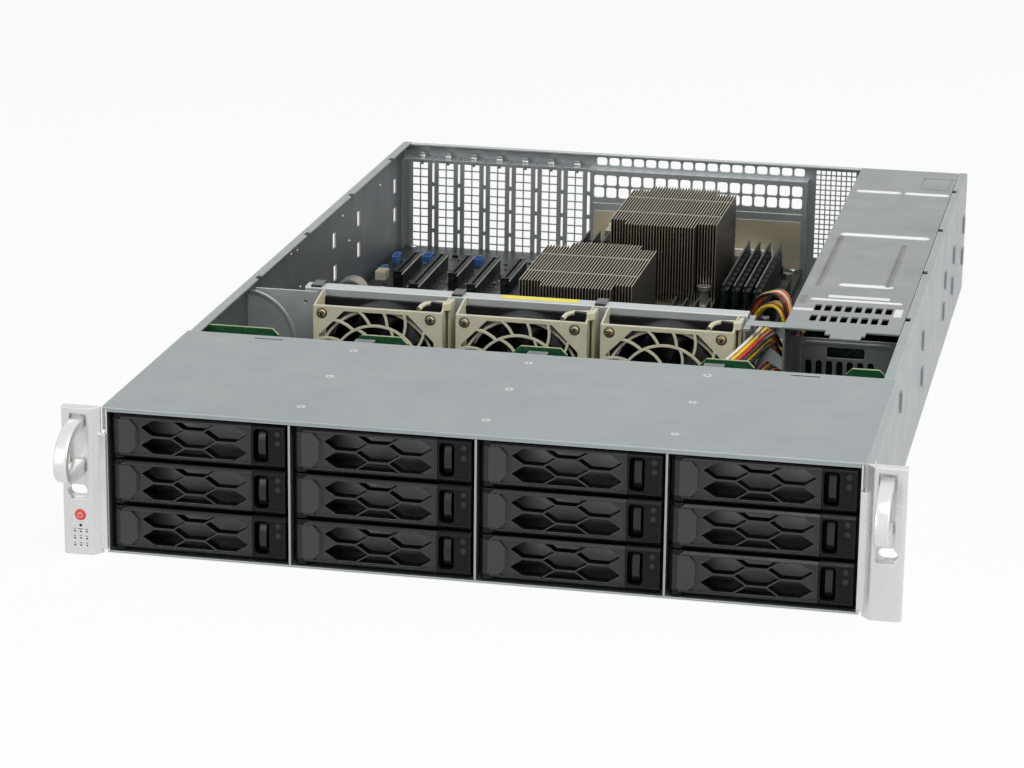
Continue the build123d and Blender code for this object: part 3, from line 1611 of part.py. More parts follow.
# Two layers that loop over to the board's main plug
for layer in range(2):
    for place in range(6):
        near = 358.0 + 6.2 * place + 3.1 * layer
        drop = 9.0 * layer
        plug_x = 87.0 + 5.4 * layer
        plug_depth = 399.0 + 7.0 * place
        sway = 1.3 * math.sin(2.1 * place + layer)
        wires.append(
            make_wire(
                [
                    (outlet_face, near, 62 - drop),
                    (131 - sway, near, 62 - drop),
                    (124 - 2.5 * layer + sway, near + 4, 83 - drop - 0.9 * place),
                    (108 + sway, near + 16, 78 - drop - 1.6 * place),
                    (plug_x + 7 - 2 * layer, (near + 3 * plug_depth) / 4, 52 - drop / 2 - place),
                    (plug_x, plug_depth, 36 - drop / 3),
                    (plug_x, plug_depth, board_plug_top),
                ]
            )
        )
# Two layers that run forward through the gap and turn right to the backplane
for layer in range(2):
    for place in range(4):
        near = 322.0 + 6.0 * place
        rise = 7.0 * layer
        header_x = 157.0 - 5.2 * place
        lane = 134.0 - 3.4 * place
        wires.append(
            make_wire(
                [
                    (outlet_face, near, 28 + rise),
                    (lane, near, 28 + rise),
                    (lane - 3.0, near - 14, 40 + rise),
                    (lane - 3.5, 272, 50 + rise - place),
                    (lane + 1, 246, 53 + rise - 2 * place),
                    (header_x - 3, 222, 47 + rise - 2 * place),
                    (header_x, 208, 39 + rise / 2),
                    (header_x, header_rear, 38.5 + rise / 2),
                ]
            )
        )
# Two layers that pass above those and turn left to the next header
for layer in range(2):
    for place in range(4):
        near = 322.0 + 6.0 * place
        rise = 6.0 * layer
        header_x = 70.0 - 6.0 * place
        lane = 131.0 - 3.2 * place
        wires.append(
            make_wire(
                [
                    (outlet_face, near, 51 + rise),
                    (lane, near, 51 + rise),
                    (lane - 3.0, near - 16, 66 + rise),
                    (lane - 5.0, 268, 71 + rise),
                    (lane - 17, 240 + 2 * place, 62 + rise),
                    (90 - 2 * place, 222 + 4 * place, 48 + rise / 2),
                    (header_x, 212 + 3 * place, 40 + rise / 2),
                    (header_x, header_rear, 38.5 + rise / 2),
                ]
            )
        )

# Flat grey cable that loops up beside the left wall and down to the board
ribbon_left = -wall_in + 1.6
ribbon_outer = 11.0
ribbon_thickness = 1.2
ribbon_near = 500.0
ribbon_width = 14.0
ribbon_crown = 24.0
with BuildPart() as ribbon:
    with BuildSketch(wall_plane(front + ribbon_near)):
        arch_x = ribbon_left + ribbon_outer
        with Locations((arch_x, ribbon_crown)):
            Circle(ribbon_outer)
        panel(ribbon_left, ribbon_left + 2 * ribbon_outer, 3.0, ribbon_crown)
        with Locations((arch_x, ribbon_crown)):
            Circle(ribbon_outer - ribbon_thickness, mode=Mode.SUBTRACT)
        inner_left = ribbon_left + ribbon_thickness
        inner_right = ribbon_left + 2 * ribbon_outer - ribbon_thickness
        panel(inner_left, inner_right, 2.0, ribbon_crown, mode=Mode.SUBTRACT)
        panel(arch_x, arch_x + 2 * ribbon_outer, 0, board_top + 9.0, mode=Mode.SUBTRACT)
    extrude(amount=-ribbon_width)
    inside(ribbon_left, ribbon_left + ribbon_thickness, 200, ribbon_near + 2, 3.0, 7.6)
save("power_cables", *wires, ribbon)

# Screws: cover screws, expansion cover screws and board screws
pan_head_radius = 3.2
pan_head_height = 2.2
cross_length = 3.4
cross_width = 0.8
cross_depth = 0.9


def cut_cross(top):
    for width, length in ((cross_width, cross_length), (cross_length, cross_width)):
        half_width = width / 2
        half_length = length / 2
        block(-half_width, half_width, -half_length, half_length, top - cross_depth, top + 1, mode=Mode.SUBTRACT)


with BuildPart() as cover_screw:
    cone_height = screw_head - screw_shank
    with BuildSketch(Plane.XZ):
        Polygon(
            (0, cover_under - sheet),
            (screw_shank, cover_under - sheet),
            (screw_shank, body_height - cone_height),
            (screw_head, body_height),
            (0, body_height),
            align=None,
        )
    revolve(axis=Axis.Z)
    cut_cross(body_height)

with BuildPart() as tab_screw:
    tab_screw_seat = shelf_high + cover_plate_thickness
    post(0, 0, tab_screw_seat, tab_screw_seat + pan_head_height, pan_head_radius)
    head_edge = tab_screw.edges().filter_by(GeomType.CIRCLE).sort_by(Axis.Z)[-1]
    fillet(head_edge, radius=0.8)
    post(0, 0, shelf_low - 3, tab_screw_seat, 1.5)
    cut_cross(tab_screw_seat + pan_head_height)

with BuildPart() as board_screw:
    post(0, 0, board_top, board_top + pan_head_height, pan_head_radius)
    head_edge = board_screw.edges().filter_by(GeomType.CIRCLE).sort_by(Axis.Z)[-1]
    fillet(head_edge, radius=0.8)
    post(0, 0, sheet + 3, board_top, 1.2)
    cut_cross(board_top + pan_head_height)

screw_pieces = [placed(cover_screw, x, y) for x, y in cover_screw_spots]
screw_pieces += [
    placed(tab_screw, first_expansion + number * expansion_pitch, front + panel_near + tab_screw_inset)
    for number in range(expansion_count)
]
screw_pieces += [placed(board_screw, x, front + depth) for x, depth in standoff_spots]
save("screws", *screw_pieces)
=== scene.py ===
import bpy
import bmesh
import json
import math
import random
import numpy as np
from mathutils import Matrix, Vector

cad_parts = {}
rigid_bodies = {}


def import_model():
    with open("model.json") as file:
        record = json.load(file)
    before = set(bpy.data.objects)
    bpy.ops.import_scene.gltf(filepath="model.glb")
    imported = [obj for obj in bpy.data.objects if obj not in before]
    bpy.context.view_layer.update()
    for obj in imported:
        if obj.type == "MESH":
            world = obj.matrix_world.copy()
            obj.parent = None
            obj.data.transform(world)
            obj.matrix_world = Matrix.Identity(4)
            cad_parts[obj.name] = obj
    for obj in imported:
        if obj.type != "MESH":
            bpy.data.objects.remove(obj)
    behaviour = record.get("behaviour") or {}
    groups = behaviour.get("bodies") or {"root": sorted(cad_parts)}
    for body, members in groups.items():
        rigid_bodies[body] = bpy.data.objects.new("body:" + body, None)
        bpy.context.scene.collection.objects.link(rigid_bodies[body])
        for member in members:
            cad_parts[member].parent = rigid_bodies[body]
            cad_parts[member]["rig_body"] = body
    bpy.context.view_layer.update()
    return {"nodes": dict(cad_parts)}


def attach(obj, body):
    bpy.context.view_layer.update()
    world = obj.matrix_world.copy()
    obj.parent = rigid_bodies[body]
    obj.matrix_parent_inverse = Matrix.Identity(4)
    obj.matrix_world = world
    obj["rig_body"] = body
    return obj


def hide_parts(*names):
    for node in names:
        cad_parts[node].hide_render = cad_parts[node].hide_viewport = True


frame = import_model()
scene = bpy.context.scene
random.seed(11)

# The front plane's place on Y, and the drive bays' pitch, in metres
FRONT = -0.353
BAY = 0.1082
BAY_ORIGIN = 0.2138
ROW = 0.0276
ROW_ORIGIN = 0.0026

# The fans' middles on X and their height, in millimetres
FAN_X = [-123.65, -29.9, 63.85]
FAN_Z = 41.3
FAN_SCREW_REACH = 35.75

# The ears' middles on X and the power button's height, in millimetres
EAR_X = 231
BUTTON_X = -230.7
BUTTON_Z = 24


def at(x, depth, z):
    """A point given in millimetres, with the depth measured from the front plane."""
    return Vector((x / 1000, FRONT + depth / 1000, z / 1000))


def srgb(r, g, b):
    """A linear colour from an 8-bit one."""
    out = []
    for v in (r, g, b):
        v = v / 255
        out.append(v / 12.92 if v <= 0.04045 else ((v + 0.055) / 1.055) ** 2.4)
    return (*out, 1.0)


# Materials
class Look:
    """A small helper that builds one node material."""

    def __init__(self, name, color, metallic=0.0, rough=0.5, **sockets):
        self.mat = bpy.data.materials.new(name)
        self.mat.use_nodes = True
        self.mat.diffuse_color = color
        self.tree = self.mat.node_tree
        self.nodes = self.tree.nodes
        self.bsdf = self.nodes["Principled BSDF"]
        self.bsdf.inputs["Base Color"].default_value = color
        self.bsdf.inputs["Metallic"].default_value = metallic
        self.bsdf.inputs["Roughness"].default_value = rough
        for key, value in sockets.items():
            self.bsdf.inputs[key.replace("_", " ")].default_value = value
        self.coord = self.nodes.new("ShaderNodeTexCoord").outputs["Object"]
        self.color = None
        self.base = color
        self.height = None

    def link(self, a, b):
        self.tree.links.new(a, b)

    def noise(self, scale, stretch=(1, 1, 1), detail=4.0, rough=0.55):
        mapping = self.nodes.new("ShaderNodeMapping")
        mapping.inputs["Scale"].default_value = stretch
        self.link(self.coord, mapping.inputs["Vector"])
        tex = self.nodes.new("ShaderNodeTexNoise")
        tex.inputs["Scale"].default_value = scale
        tex.inputs["Detail"].default_value = detail
        tex.inputs["Roughness"].default_value = rough
        self.link(mapping.outputs["Vector"], tex.inputs["Vector"])
        return tex.outputs["Fac"]

    def spread(self, value, low, high, lo_in=0.3, hi_in=0.7):
        node = self.nodes.new("ShaderNodeMapRange")
        node.inputs["From Min"].default_value = lo_in
        node.inputs["From Max"].default_value = hi_in
        node.inputs["To Min"].default_value = low
        node.inputs["To Max"].default_value = high
        self.link(value, node.inputs["Value"])
        return node.outputs["Result"]

    def tint(self, value, amount=0.08, lo_in=0.3, hi_in=0.7):
        """The base colour, lighter and darker by a value."""
        ramp = self.nodes.new("ShaderNodeValToRGB")
        r, g, b, _ = self.base
        ramp.color_ramp.elements[0].position = lo_in
        ramp.color_ramp.elements[1].position = hi_in
        ramp.color_ramp.elements[0].color = (r * (1 - amount), g * (1 - amount), b * (1 - amount), 1)
        ramp.color_ramp.elements[1].color = (
            min(1, r * (1 + amount)),
            min(1, g * (1 + amount)),
            min(1, b * (1 + amount)),
            1,
        )
        self.link(value, ramp.inputs["Fac"])
        self.color = ramp.outputs["Color"]
        return self

    def mix(self, mask, color):
        """Paints another colour where a mask is one."""
        node = self.nodes.new("ShaderNodeMix")
        node.data_type = "RGBA"
        self.link(mask, node.inputs["Factor"])
        if self.color is None:
            node.inputs[6].default_value = self.base
        else:
            self.link(self.color, node.inputs[6])
        node.inputs[7].default_value = color
        self.color = node.outputs[2]
        return self

    def math(self, operation, a, b=None):
        node = self.nodes.new("ShaderNodeMath")
        node.operation = operation
        for index, value in enumerate((a, b)):
            if value is None:
                continue
            if isinstance(value, (int, float)):
                node.inputs[index].default_value = value
            else:
                self.link(value, node.inputs[index])
        return node.outputs[0]

    def axis(self, name):
        split = self.nodes.new("ShaderNodeSeparateXYZ")
        self.link(self.coord, split.inputs[0])
        return split.outputs[name]

    def between(self, value, low, high):
        above = self.math("GREATER_THAN", value, low)
        below = self.math("LESS_THAN", value, high)
        return self.math("MULTIPLY", above, below)

    def away(self, value, middle):
        """How far a value is from a middle."""
        return self.math("ABSOLUTE", self.math("SUBTRACT", value, middle))

    def square(self, value):
        return self.math("MULTIPLY", value, value)

    def bump(self, value, strength=0.2, distance=0.0003):
        node = self.nodes.new("ShaderNodeBump")
        node.inputs["Strength"].default_value = strength
        node.inputs["Distance"].default_value = distance
        self.link(value, node.inputs["Height"])
        if self.height is not None:
            self.link(self.height, node.inputs["Normal"])
        self.height = node.outputs["Normal"]
        return self

    def bevel(self, radius):
        node = self.nodes.new("ShaderNodeBevel")
        node.samples = 4
        node.inputs["Radius"].default_value = radius
        self.height = node.outputs["Normal"]
        return self

    def edges(self, radius, color, share=1.0):
        """Paints a highlight on the edges: lightens them where the rounded normal leaves the true one."""
        node = self.nodes.new("ShaderNodeBevel")
        node.samples = 4
        node.inputs["Radius"].default_value = radius
        true = self.nodes.new("ShaderNodeNewGeometry")
        dot = self.nodes.new("ShaderNodeVectorMath")
        dot.operation = "DOT_PRODUCT"
        self.link(node.outputs["Normal"], dot.inputs[0])
        self.link(true.outputs["Normal"], dot.inputs[1])
        mask = self.spread(dot.outputs["Value"], share, 0, 0.82, 0.99)
        return self.mix(mask, color)

    def rough(self, value, low, high, lo_in=0.3, hi_in=0.7):
        self.link(self.spread(value, low, high, lo_in, hi_in), self.bsdf.inputs["Roughness"])
        return self

    def done(self):
        if self.color is not None:
            self.link(self.color, self.bsdf.inputs["Base Color"])
        if self.height is not None:
            self.link(self.height, self.bsdf.inputs["Normal"])
        return self.mat


def sheet_metal(name, color, metallic=0.6, rough=0.4, edge=0.0004, edge_highlight=(226, 231, 231), cloudy=0.03):
    look = Look(name, color, metallic, rough)
    look.bevel(edge)
    grain = look.noise(2600, (0.15, 1, 1), 2)
    cloud = look.noise(5, detail=2)
    look.tint(cloud, cloudy)
    # Painted highlight along the edges
    look.edges(0.0006, srgb(*edge_highlight), 0.75)
    look.rough(look.noise(40, detail=3), rough - 0.05, rough + 0.07)
    look.bump(grain, 0.03, 0.00004)
    return look.done()


def supply_cover():
    """Zinc sheet with pressed beads shown by painted highlights on those across and painted shade on those
    in depth, and a blank white label.
    """
    look = Look("supply cover", srgb(140, 145, 146), 0.6, 0.38)
    look.bevel(0.0004)
    look.tint(look.noise(7, detail=2), 0.045)
    x = look.axis("X")
    y = look.axis("Y")
    up = look.math("GREATER_THAN", look.axis("Z"), 0.0874)
    # Beads along X, drawn as painted highlights: their ends, depth, half width and the grey of the
    # highlight
    for x0, x1, depth, half, shade in (
        (164, 192, 375, 4.5, 238),
        (150, 203, 512, 5.0, 238),
        (146, 171, 645, 4.5, 238),
        (181, 206, 645, 4.5, 238),
        (149, 203, 335.5, 3.0, 232),
        (141, 149, 309, 3.5, 226),
    ):
        past_end = look.math("SUBTRACT", look.away(x, (x0 + x1) / 2000), (x1 - x0) / 2000)
        over_x = look.math("MAXIMUM", past_end, 0)
        over_y = look.away(y, FRONT + depth / 1000)
        length = look.math("SQRT", look.math("ADD", look.square(over_x), look.square(over_y)))
        bead_highlight = look.spread(length, 1, 0, half * 0.0007, half * 0.001)
        look.mix(look.math("MULTIPLY", bead_highlight, up), srgb(shade, shade, shade))
    # Painted shade along the beads that run in depth
    for groove, d0, d1 in ((147, 369, 505), (192, 376, 490), (142, 322, 343)):
        wide = look.spread(look.away(x, groove / 1000), 1, 0, 0.0012, 0.0034)
        along = look.between(y, FRONT + d0 / 1000, FRONT + d1 / 1000)
        look.mix(look.math("MULTIPLY", look.math("MULTIPLY", wide, along), 0.75), srgb(104, 107, 107))
    label = look.math(
        "MULTIPLY",
        look.between(x, 0.157, 0.1965),
        look.between(y, FRONT + 0.3415, FRONT + 0.3478),
    )
    look.mix(look.math("MULTIPLY", label, up), srgb(232, 233, 232))
    tag = look.math(
        "MULTIPLY",
        look.between(x, 0.2025, 0.2075),
        look.between(y, FRONT + 0.303, FRONT + 0.322),
    )
    look.mix(look.math("MULTIPLY", tag, up), srgb(226, 228, 228))
    look.rough(look.noise(40, detail=3), 0.33, 0.45)
    look.bump(look.noise(2600, (0.15, 1, 1), 2), 0.03, 0.00004)
    return look.done()


def plastic(name, color, rough=0.45, grain=1400, depth=0.12, edge=0.0003, edge_highlight=None, **sockets):
    look = Look(name, color, 0.0, rough, **sockets)
    look.bevel(edge)
    fine = look.noise(grain, detail=2)
    look.tint(look.noise(60, detail=3), 0.06)
    # Painted highlight along the edges, where a colour for it is given
    if edge_highlight:
        look.edges(0.0005, srgb(*edge_highlight), 0.7)
    look.rough(look.noise(120, detail=3), rough - 0.05, rough + 0.06)
    look.bump(fine, depth, 0.00005)
    return look.done()


def board_look(name, color, trace):
    """Solder mask with fine traces and vias."""
    look = Look(name, color, 0.0, 0.35)
    cells = look.nodes.new("ShaderNodeTexVoronoi")
    cells.inputs["Scale"].default_value = 260
    cells.feature = "DISTANCE_TO_EDGE"
    look.link(look.coord, cells.inputs["Vector"])
    lines = look.math("LESS_THAN", cells.outputs["Distance"], 0.035)
    dots = look.nodes.new("ShaderNodeTexVoronoi")
    dots.inputs["Scale"].default_value = 420
    look.link(look.coord, dots.inputs["Vector"])
    vias = look.math("LESS_THAN", dots.outputs["Distance"], 0.16)
    look.tint(look.noise(70, detail=3), 0.25)
    look.mix(look.math("MULTIPLY", lines, 0.5), trace)
    look.mix(look.math("MULTIPLY", vias, 0.5), srgb(130, 132, 104))
    look.rough(look.noise(200), 0.28, 0.45)
    look.bump(lines, 0.12, 0.0001)
    return look.done()


def fins_look(name, color, metallic, rough):
    look = Look(name, color, metallic, rough)
    look.tint(look.noise(700, (1, 0.03, 1), 2), 0.14)
    look.rough(look.noise(500, (1, 0.05, 1), 2), rough - 0.05, rough + 0.09)
    return look.done()


def gloss_black(name, shade, rough=0.2, gloss=0.3, edge_highlight=96):
    """Black moulding with faint swirl marks and a painted highlight on its edges."""
    look = Look(name, srgb(shade, shade, shade + 2), 0.0, rough, Specular_IOR_Level=gloss)
    look.bevel(0.0004)
    look.tint(look.noise(90, detail=3), 0.12)
    look.edges(0.0005, srgb(edge_highlight, edge_highlight, edge_highlight + 3), 0.8)
    look.rough(look.noise(160, detail=3), rough - 0.05, rough + 0.08)
    look.bump(look.noise(1500, detail=1), 0.03, 0.00003)
    return look


def lever_look():
    """The lever's black, with the dark grey finger panel at its hinged end."""
    look = gloss_black("lever black", 30, 0.24, 0.32, 92)
    column = look.math("MODULO", look.math("ADD", look.axis("X"), BAY_ORIGIN), BAY)
    row = look.math("MODULO", look.math("SUBTRACT", look.axis("Z"), ROW_ORIGIN), ROW)
    panel = look.math(
        "MULTIPLY",
        look.between(column, 0.0046, 0.0146),
        look.between(row, 0.0032, 0.0232),
    )
    front = look.math("LESS_THAN", look.axis("Y"), FRONT + 0.0008)
    look.mix(look.math("MULTIPLY", panel, front), srgb(58, 59, 62))
    return look.done()


MATS = {
    "zinc": sheet_metal("zinc sheet", srgb(150, 157, 158)),
    "zinc_wall": sheet_metal("zinc wall", srgb(156, 162, 163)),
    # A darker copy of the zinc: painted shade on inner faces, the floor, the drive cage and the left
    # bracket
    "zinc_painted_shade": sheet_metal("zinc sheet, painted shade", srgb(104, 110, 112), 0.55, 0.45),
    "supply_cover": supply_cover(),
    # A lighter copy of the zinc: painted light on the bar over the fans and the rear panel's top faces
    "zinc_painted_light": sheet_metal("zinc sheet, painted light", srgb(190, 195, 196), 0.5, 0.35),
    "ear": sheet_metal("ear satin", srgb(214, 214, 212), 0.6, 0.28, 0.0008, (246, 246, 245), 0.015),
    "grip": sheet_metal("grip satin", srgb(222, 222, 221), 0.55, 0.24, 0.0006, (248, 248, 247), 0.01),
    "lever": lever_look(),
    # A lighter copy of the lever black: painted highlight on the recessed web
    "lever_web_painted_light": gloss_black("lever web, painted light", 40, 0.2, 0.4, 120).done(),
    "carrier": gloss_black("carrier black", 15, 0.25, 0.16, 60).done(),
    # Near-black on recessed faces and faces deep in the bays: painted shade
    "carrier_painted_shade": plastic("carrier recess, painted shade", srgb(6, 6, 7), 0.5, Specular_IOR_Level=0.08),
    "button": gloss_black("button black", 26, 0.2, 0.35, 90).done(),
    "drive": sheet_metal("drive casting", srgb(120, 122, 124), 0.7, 0.4),
    "rail": sheet_metal("carrier rail", srgb(130, 134, 136), 0.6, 0.4),
    "lamp": plastic("lamp lens", srgb(7, 8, 7), 0.12, depth=0.02),
    "cream": plastic("fan cream", srgb(206, 202, 176), 0.42, 1200, 0.1, 0.0006, (232, 229, 208)),
    "fan_dark": plastic("fan grey", srgb(78, 76, 80), 0.5, 1200, 0.06, 0.0004, Specular_IOR_Level=0.2),
    "fan_inner": plastic("fan inside", srgb(24, 23, 25), 0.5, 1200, 0.06, 0.0004, Specular_IOR_Level=0.15),
    "rotor": plastic("rotor black", srgb(13, 13, 15), 0.4, 1200, 0.03, 0.0004, Specular_IOR_Level=0.2),
    "rubber": plastic("rubber black", srgb(16, 16, 17), 0.3, 900, 0.05, 0.0005, (120, 120, 122)),
    "pcb": board_look("board green", srgb(9, 24, 18), srgb(20, 50, 38)),
    "pcb_bright": board_look("backplane green", srgb(20, 74, 42), srgb(40, 104, 66)),
    "pcb_edge": plastic("board edge", srgb(150, 160, 116), 0.5),
    "chip": plastic("chip black", srgb(20, 21, 22), 0.4, 2000, 0.1, 0.0002, Specular_IOR_Level=0.25),
    "slot": plastic(
        "slot black", srgb(13, 13, 14), 0.38, 1500, 0.06, 0.0003, (92, 94, 92), Specular_IOR_Level=0.2
    ),
    "silk": plastic("silk print", srgb(196, 202, 190), 0.5),
    "white": plastic("plug white", srgb(198, 194, 172), 0.45, 1500, 0.1, 0.0004),
    "blue": plastic("plug blue", srgb(48, 96, 160), 0.4, 1500, 0.1, 0.0004, (120, 160, 205)),
    "tan": plastic("ceramic tan", srgb(150, 120, 86), 0.5),
    "cap": sheet_metal("capacitor can", srgb(160, 160, 158), 0.8, 0.3),
    "steel": sheet_metal("bright steel", srgb(206, 206, 204), 0.85, 0.25, 0.0003),
    "screw_dark": sheet_metal("dark screw", srgb(70, 68, 60), 0.8, 0.35, 0.0003),
    "brass": sheet_metal("brass post", srgb(190, 160, 90), 0.9, 0.3),
    "shield": sheet_metal("port shield", srgb(196, 187, 158), 0.5, 0.34),
    "fins": fins_look("heatsink fins", srgb(178, 170, 152), 0.8, 0.33),
    "fins_painted_shade": fins_look("heatsink channels, painted shade", srgb(58, 54, 46), 0.6, 0.45),
    "sink_base": sheet_metal("heatsink base", srgb(140, 130, 110), 0.8, 0.35),
    "module": board_look("module green", srgb(12, 27, 20), srgb(36, 60, 44)),
    "psu_case": sheet_metal("supply case", srgb(160, 164, 166), 0.6, 0.38),
    "psu_black": plastic("supply plastic", srgb(20, 20, 22), 0.4, Specular_IOR_Level=0.25),
    "psu_latch": plastic("latch plastic", srgb(120, 36, 30), 0.4),
    "power_red": plastic("power key", srgb(226, 62, 50), 0.35, 1500, 0.05, 0.0003),
    "yellow_label": plastic("yellow label", srgb(236, 222, 40), 0.4, 900, 0.05),
    "ink": plastic("panel ink", srgb(96, 98, 98), 0.5, 900, 0.05),
}
WIRES = {
    "yellow": (232, 196, 30),
    "red": (190, 40, 34),
    "black": (18, 18, 19),
    "orange": (206, 96, 30),
    "white": (224, 220, 210),
    "grey": (150, 146, 138),
}
for key, value in WIRES.items():
    MATS["wire_" + key] = plastic("wire " + key, srgb(*value), 0.35, 1500, 0.06, 0.0002)


def islands(mesh):
    """The separate solids of a mesh: a label for each face, and each solid's corners in millimetres."""
    count = len(mesh.vertices)
    co = np.empty(count * 3)
    mesh.vertices.foreach_get("co", co)
    co = co.reshape(-1, 3)
    _, weld = np.unique(np.round(co * 1e6).astype(np.int64), axis=0, return_inverse=True)
    weld = weld.ravel()
    loops = np.empty(len(mesh.loops), np.int64)
    mesh.loops.foreach_get("vertex_index", loops)
    starts = np.empty(len(mesh.polygons), np.int64)
    totals = np.empty(len(mesh.polygons), np.int64)
    mesh.polygons.foreach_get("loop_start", starts)
    mesh.polygons.foreach_get("loop_total", totals)
    first = weld[loops[starts]]
    pairs_a = np.repeat(first, totals)
    pairs_b = weld[loops]
    label = np.arange(weld.max() + 1)
    while True:
        low = np.minimum(label[pairs_a], label[pairs_b])
        new = label.copy()
        np.minimum.at(new, pairs_a, low)
        np.minimum.at(new, pairs_b, low)
        new = new[new]
        if np.array_equal(new, label):
            break
        label = new
    face_label = label[first]
    order = []
    boxes = {}
    for value in np.unique(face_label):
        faces = np.nonzero(face_label == value)[0]
        picked = np.concatenate([loops[s : s + t] for s, t in zip(starts[faces], totals[faces])])
        pts = co[picked]
        lo = pts.min(0) * 1000
        hi = pts.max(0) * 1000
        lo[1] -= FRONT * 1000
        hi[1] -= FRONT * 1000
        boxes[value] = (lo, hi)
        order.append((faces.min(), value))
    order = [value for _, value in sorted(order)]
    return face_label, boxes, order


def body_of(node):
    return frame["nodes"][node]["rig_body"]


def dress(node, choose, face_rule=None):
    """A finished copy of a node with a material for each of its solids, which replaces it.

    A solid whose choice is None is left out. Returns the solids' boxes.
    """
    source = frame["nodes"][node]
    mesh = source.data.copy()
    mesh.name = node + "_finish"
    piece = bpy.data.objects.new(node + "_finish", mesh)
    scene.collection.objects.link(piece)
    mesh.materials.clear()
    face_label, boxes, order = islands(mesh)
    names = []
    index_of = {}
    for value in order:
        name = choose(*boxes[value]) or "left out"
        if name not in names:
            names.append(name)
        index_of[value] = names.index(name)
    material_index = np.array([index_of[v] for v in face_label], np.int32)
    if face_rule is not None:
        centres = np.empty(len(mesh.polygons) * 3)
        mesh.polygons.foreach_get("center", centres)
        centres = centres.reshape(-1, 3) * 1000
        centres[:, 1] -= FRONT * 1000
        normals = np.empty(len(mesh.polygons) * 3)
        mesh.polygons.foreach_get("normal", normals)
        normals = normals.reshape(-1, 3)
        for test, old, new in face_rule:
            if old in names:
                hit = (material_index == names.index(old)) & test(centres, normals)
                if hit.any():
                    if new not in names:
                        names.append(new)
                    material_index[hit] = names.index(new)
    for name in names:
        mesh.materials.append(MATS.get(name, MATS["zinc"]))
    mesh.polygons.foreach_set("material_index", material_index)
    mesh.update()
    if "left out" in names:
        rest = bmesh.new()
        rest.from_mesh(mesh)
        index = names.index("left out")
        unwanted = [face for face in rest.faces if face.material_index == index]
        bmesh.ops.delete(rest, geom=unwanted, context="FACES")
        rest.to_mesh(mesh)
        rest.free()
    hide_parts(node)
    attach(piece, body_of(node))
    return [boxes[value] for value in order]


def paint(node, name):
    """One material over a whole node."""
    mesh = frame["nodes"][node].data
    mesh.materials.clear()
    mesh.materials.append(MATS[name])


# Camera: its turns, its place and its focal length, as solved from the object's corners
YAW, PITCH, ROLL = -0.2047, -0.2904, 0.0118
PLACE = (0.3785009, -1.7253048 + FRONT, 0.6452466)
FOCAL_PIXELS = 3320.3539
PICTURE_WIDTH = 1024
SENSOR_WIDTH = 36
look = Vector((math.sin(YAW) * math.cos(PITCH), math.cos(YAW) * math.cos(PITCH), math.sin(PITCH)))
flat = Vector((math.cos(YAW), -math.sin(YAW), 0))
rise = flat.cross(look)
side = math.cos(ROLL) * flat + math.sin(ROLL) * rise
top = -math.sin(ROLL) * flat + math.cos(ROLL) * rise
camera_data = bpy.data.cameras.new("camera")
camera = bpy.data.objects.new("camera", camera_data)
scene.collection.objects.link(camera)
camera_data.sensor_width = SENSOR_WIDTH
camera_data.lens = FOCAL_PIXELS / PICTURE_WIDTH * SENSOR_WIDTH
camera_data.clip_end = 50
camera.matrix_world = Matrix(
    (
        (side.x, top.x, -look.x, PLACE[0]),
        (side.y, top.y, -look.y, PLACE[1]),
        (side.z, top.z, -look.z, PLACE[2]),
        (0, 0, 0, 1),
    )
)
scene.camera = camera


# Floor, world and lamps
def direct_rays(tree):
    """One for what the camera sees, also in mirrors and through clear things."""
    path = tree.nodes.new("ShaderNodeLightPath")
    ray = tree.nodes.new("ShaderNodeMath")
    ray.operation = "MAXIMUM"
    tree.links.new(path.outputs["Is Camera Ray"], ray.inputs[0])
    tree.links.new(path.outputs["Is Glossy Ray"], ray.inputs[1])
    seen = tree.nodes.new("ShaderNodeMath")
    seen.operation = "MAXIMUM"
    tree.links.new(ray.outputs[0], seen.inputs[0])
    tree.links.new(path.outputs["Is Transmission Ray"], seen.inputs[1])
    return seen.outputs[0]


floor_mesh = bpy.data.meshes.new("floor")
floor_mesh.from_pydata([(-12, -12, 0), (12, -12, 0), (12, 12, 0), (-12, 12, 0)], [], [(0, 1, 2, 3)])
floor = bpy.data.objects.new("floor", floor_mesh)
scene.collection.objects.link(floor)
floor.location.z = -0.0004
floor_mat = bpy.data.materials.new("floor")
floor_mat.use_nodes = True
tree = floor_mat.node_tree
tree.nodes["Principled BSDF"].inputs["Base Color"].default_value = (0.86, 0.86, 0.86, 1)
tree.nodes["Principled BSDF"].inputs["Roughness"].default_value = 0.8
tree.nodes["Principled BSDF"].inputs["Specular IOR Level"].default_value = 0.1
glow = tree.nodes.new("ShaderNodeEmission")
glow.inputs["Color"].default_value = (1, 1, 1, 1)
share = tree.nodes.new("ShaderNodeMath")
share.operation = "MULTIPLY"
share.inputs[1].default_value = 0.9
tree.links.new(direct_rays(tree), share.inputs[0])
blend = tree.nodes.new("ShaderNodeMixShader")
tree.links.new(share.outputs[0], blend.inputs[0])
tree.links.new(tree.nodes["Principled BSDF"].outputs[0], blend.inputs[1])
tree.links.new(glow.outputs[0], blend.inputs[2])
tree.links.new(blend.outputs[0], tree.nodes["Material Output"].inputs["Surface"])
floor_mesh.materials.append(floor_mat)

world = bpy.data.worlds.new("world")
scene.world = world
world.use_nodes = True
tree = world.node_tree
background = tree.nodes["Background"]
background.inputs["Color"].default_value = (1, 1, 1, 1)
strength = tree.nodes.new("ShaderNodeMapRange")
strength.inputs["To Min"].default_value = 0.32
strength.inputs["To Max"].default_value = 1.0
tree.links.new(direct_rays(tree), strength.inputs["Value"])
tree.links.new(strength.outputs["Result"], background.inputs["Strength"])


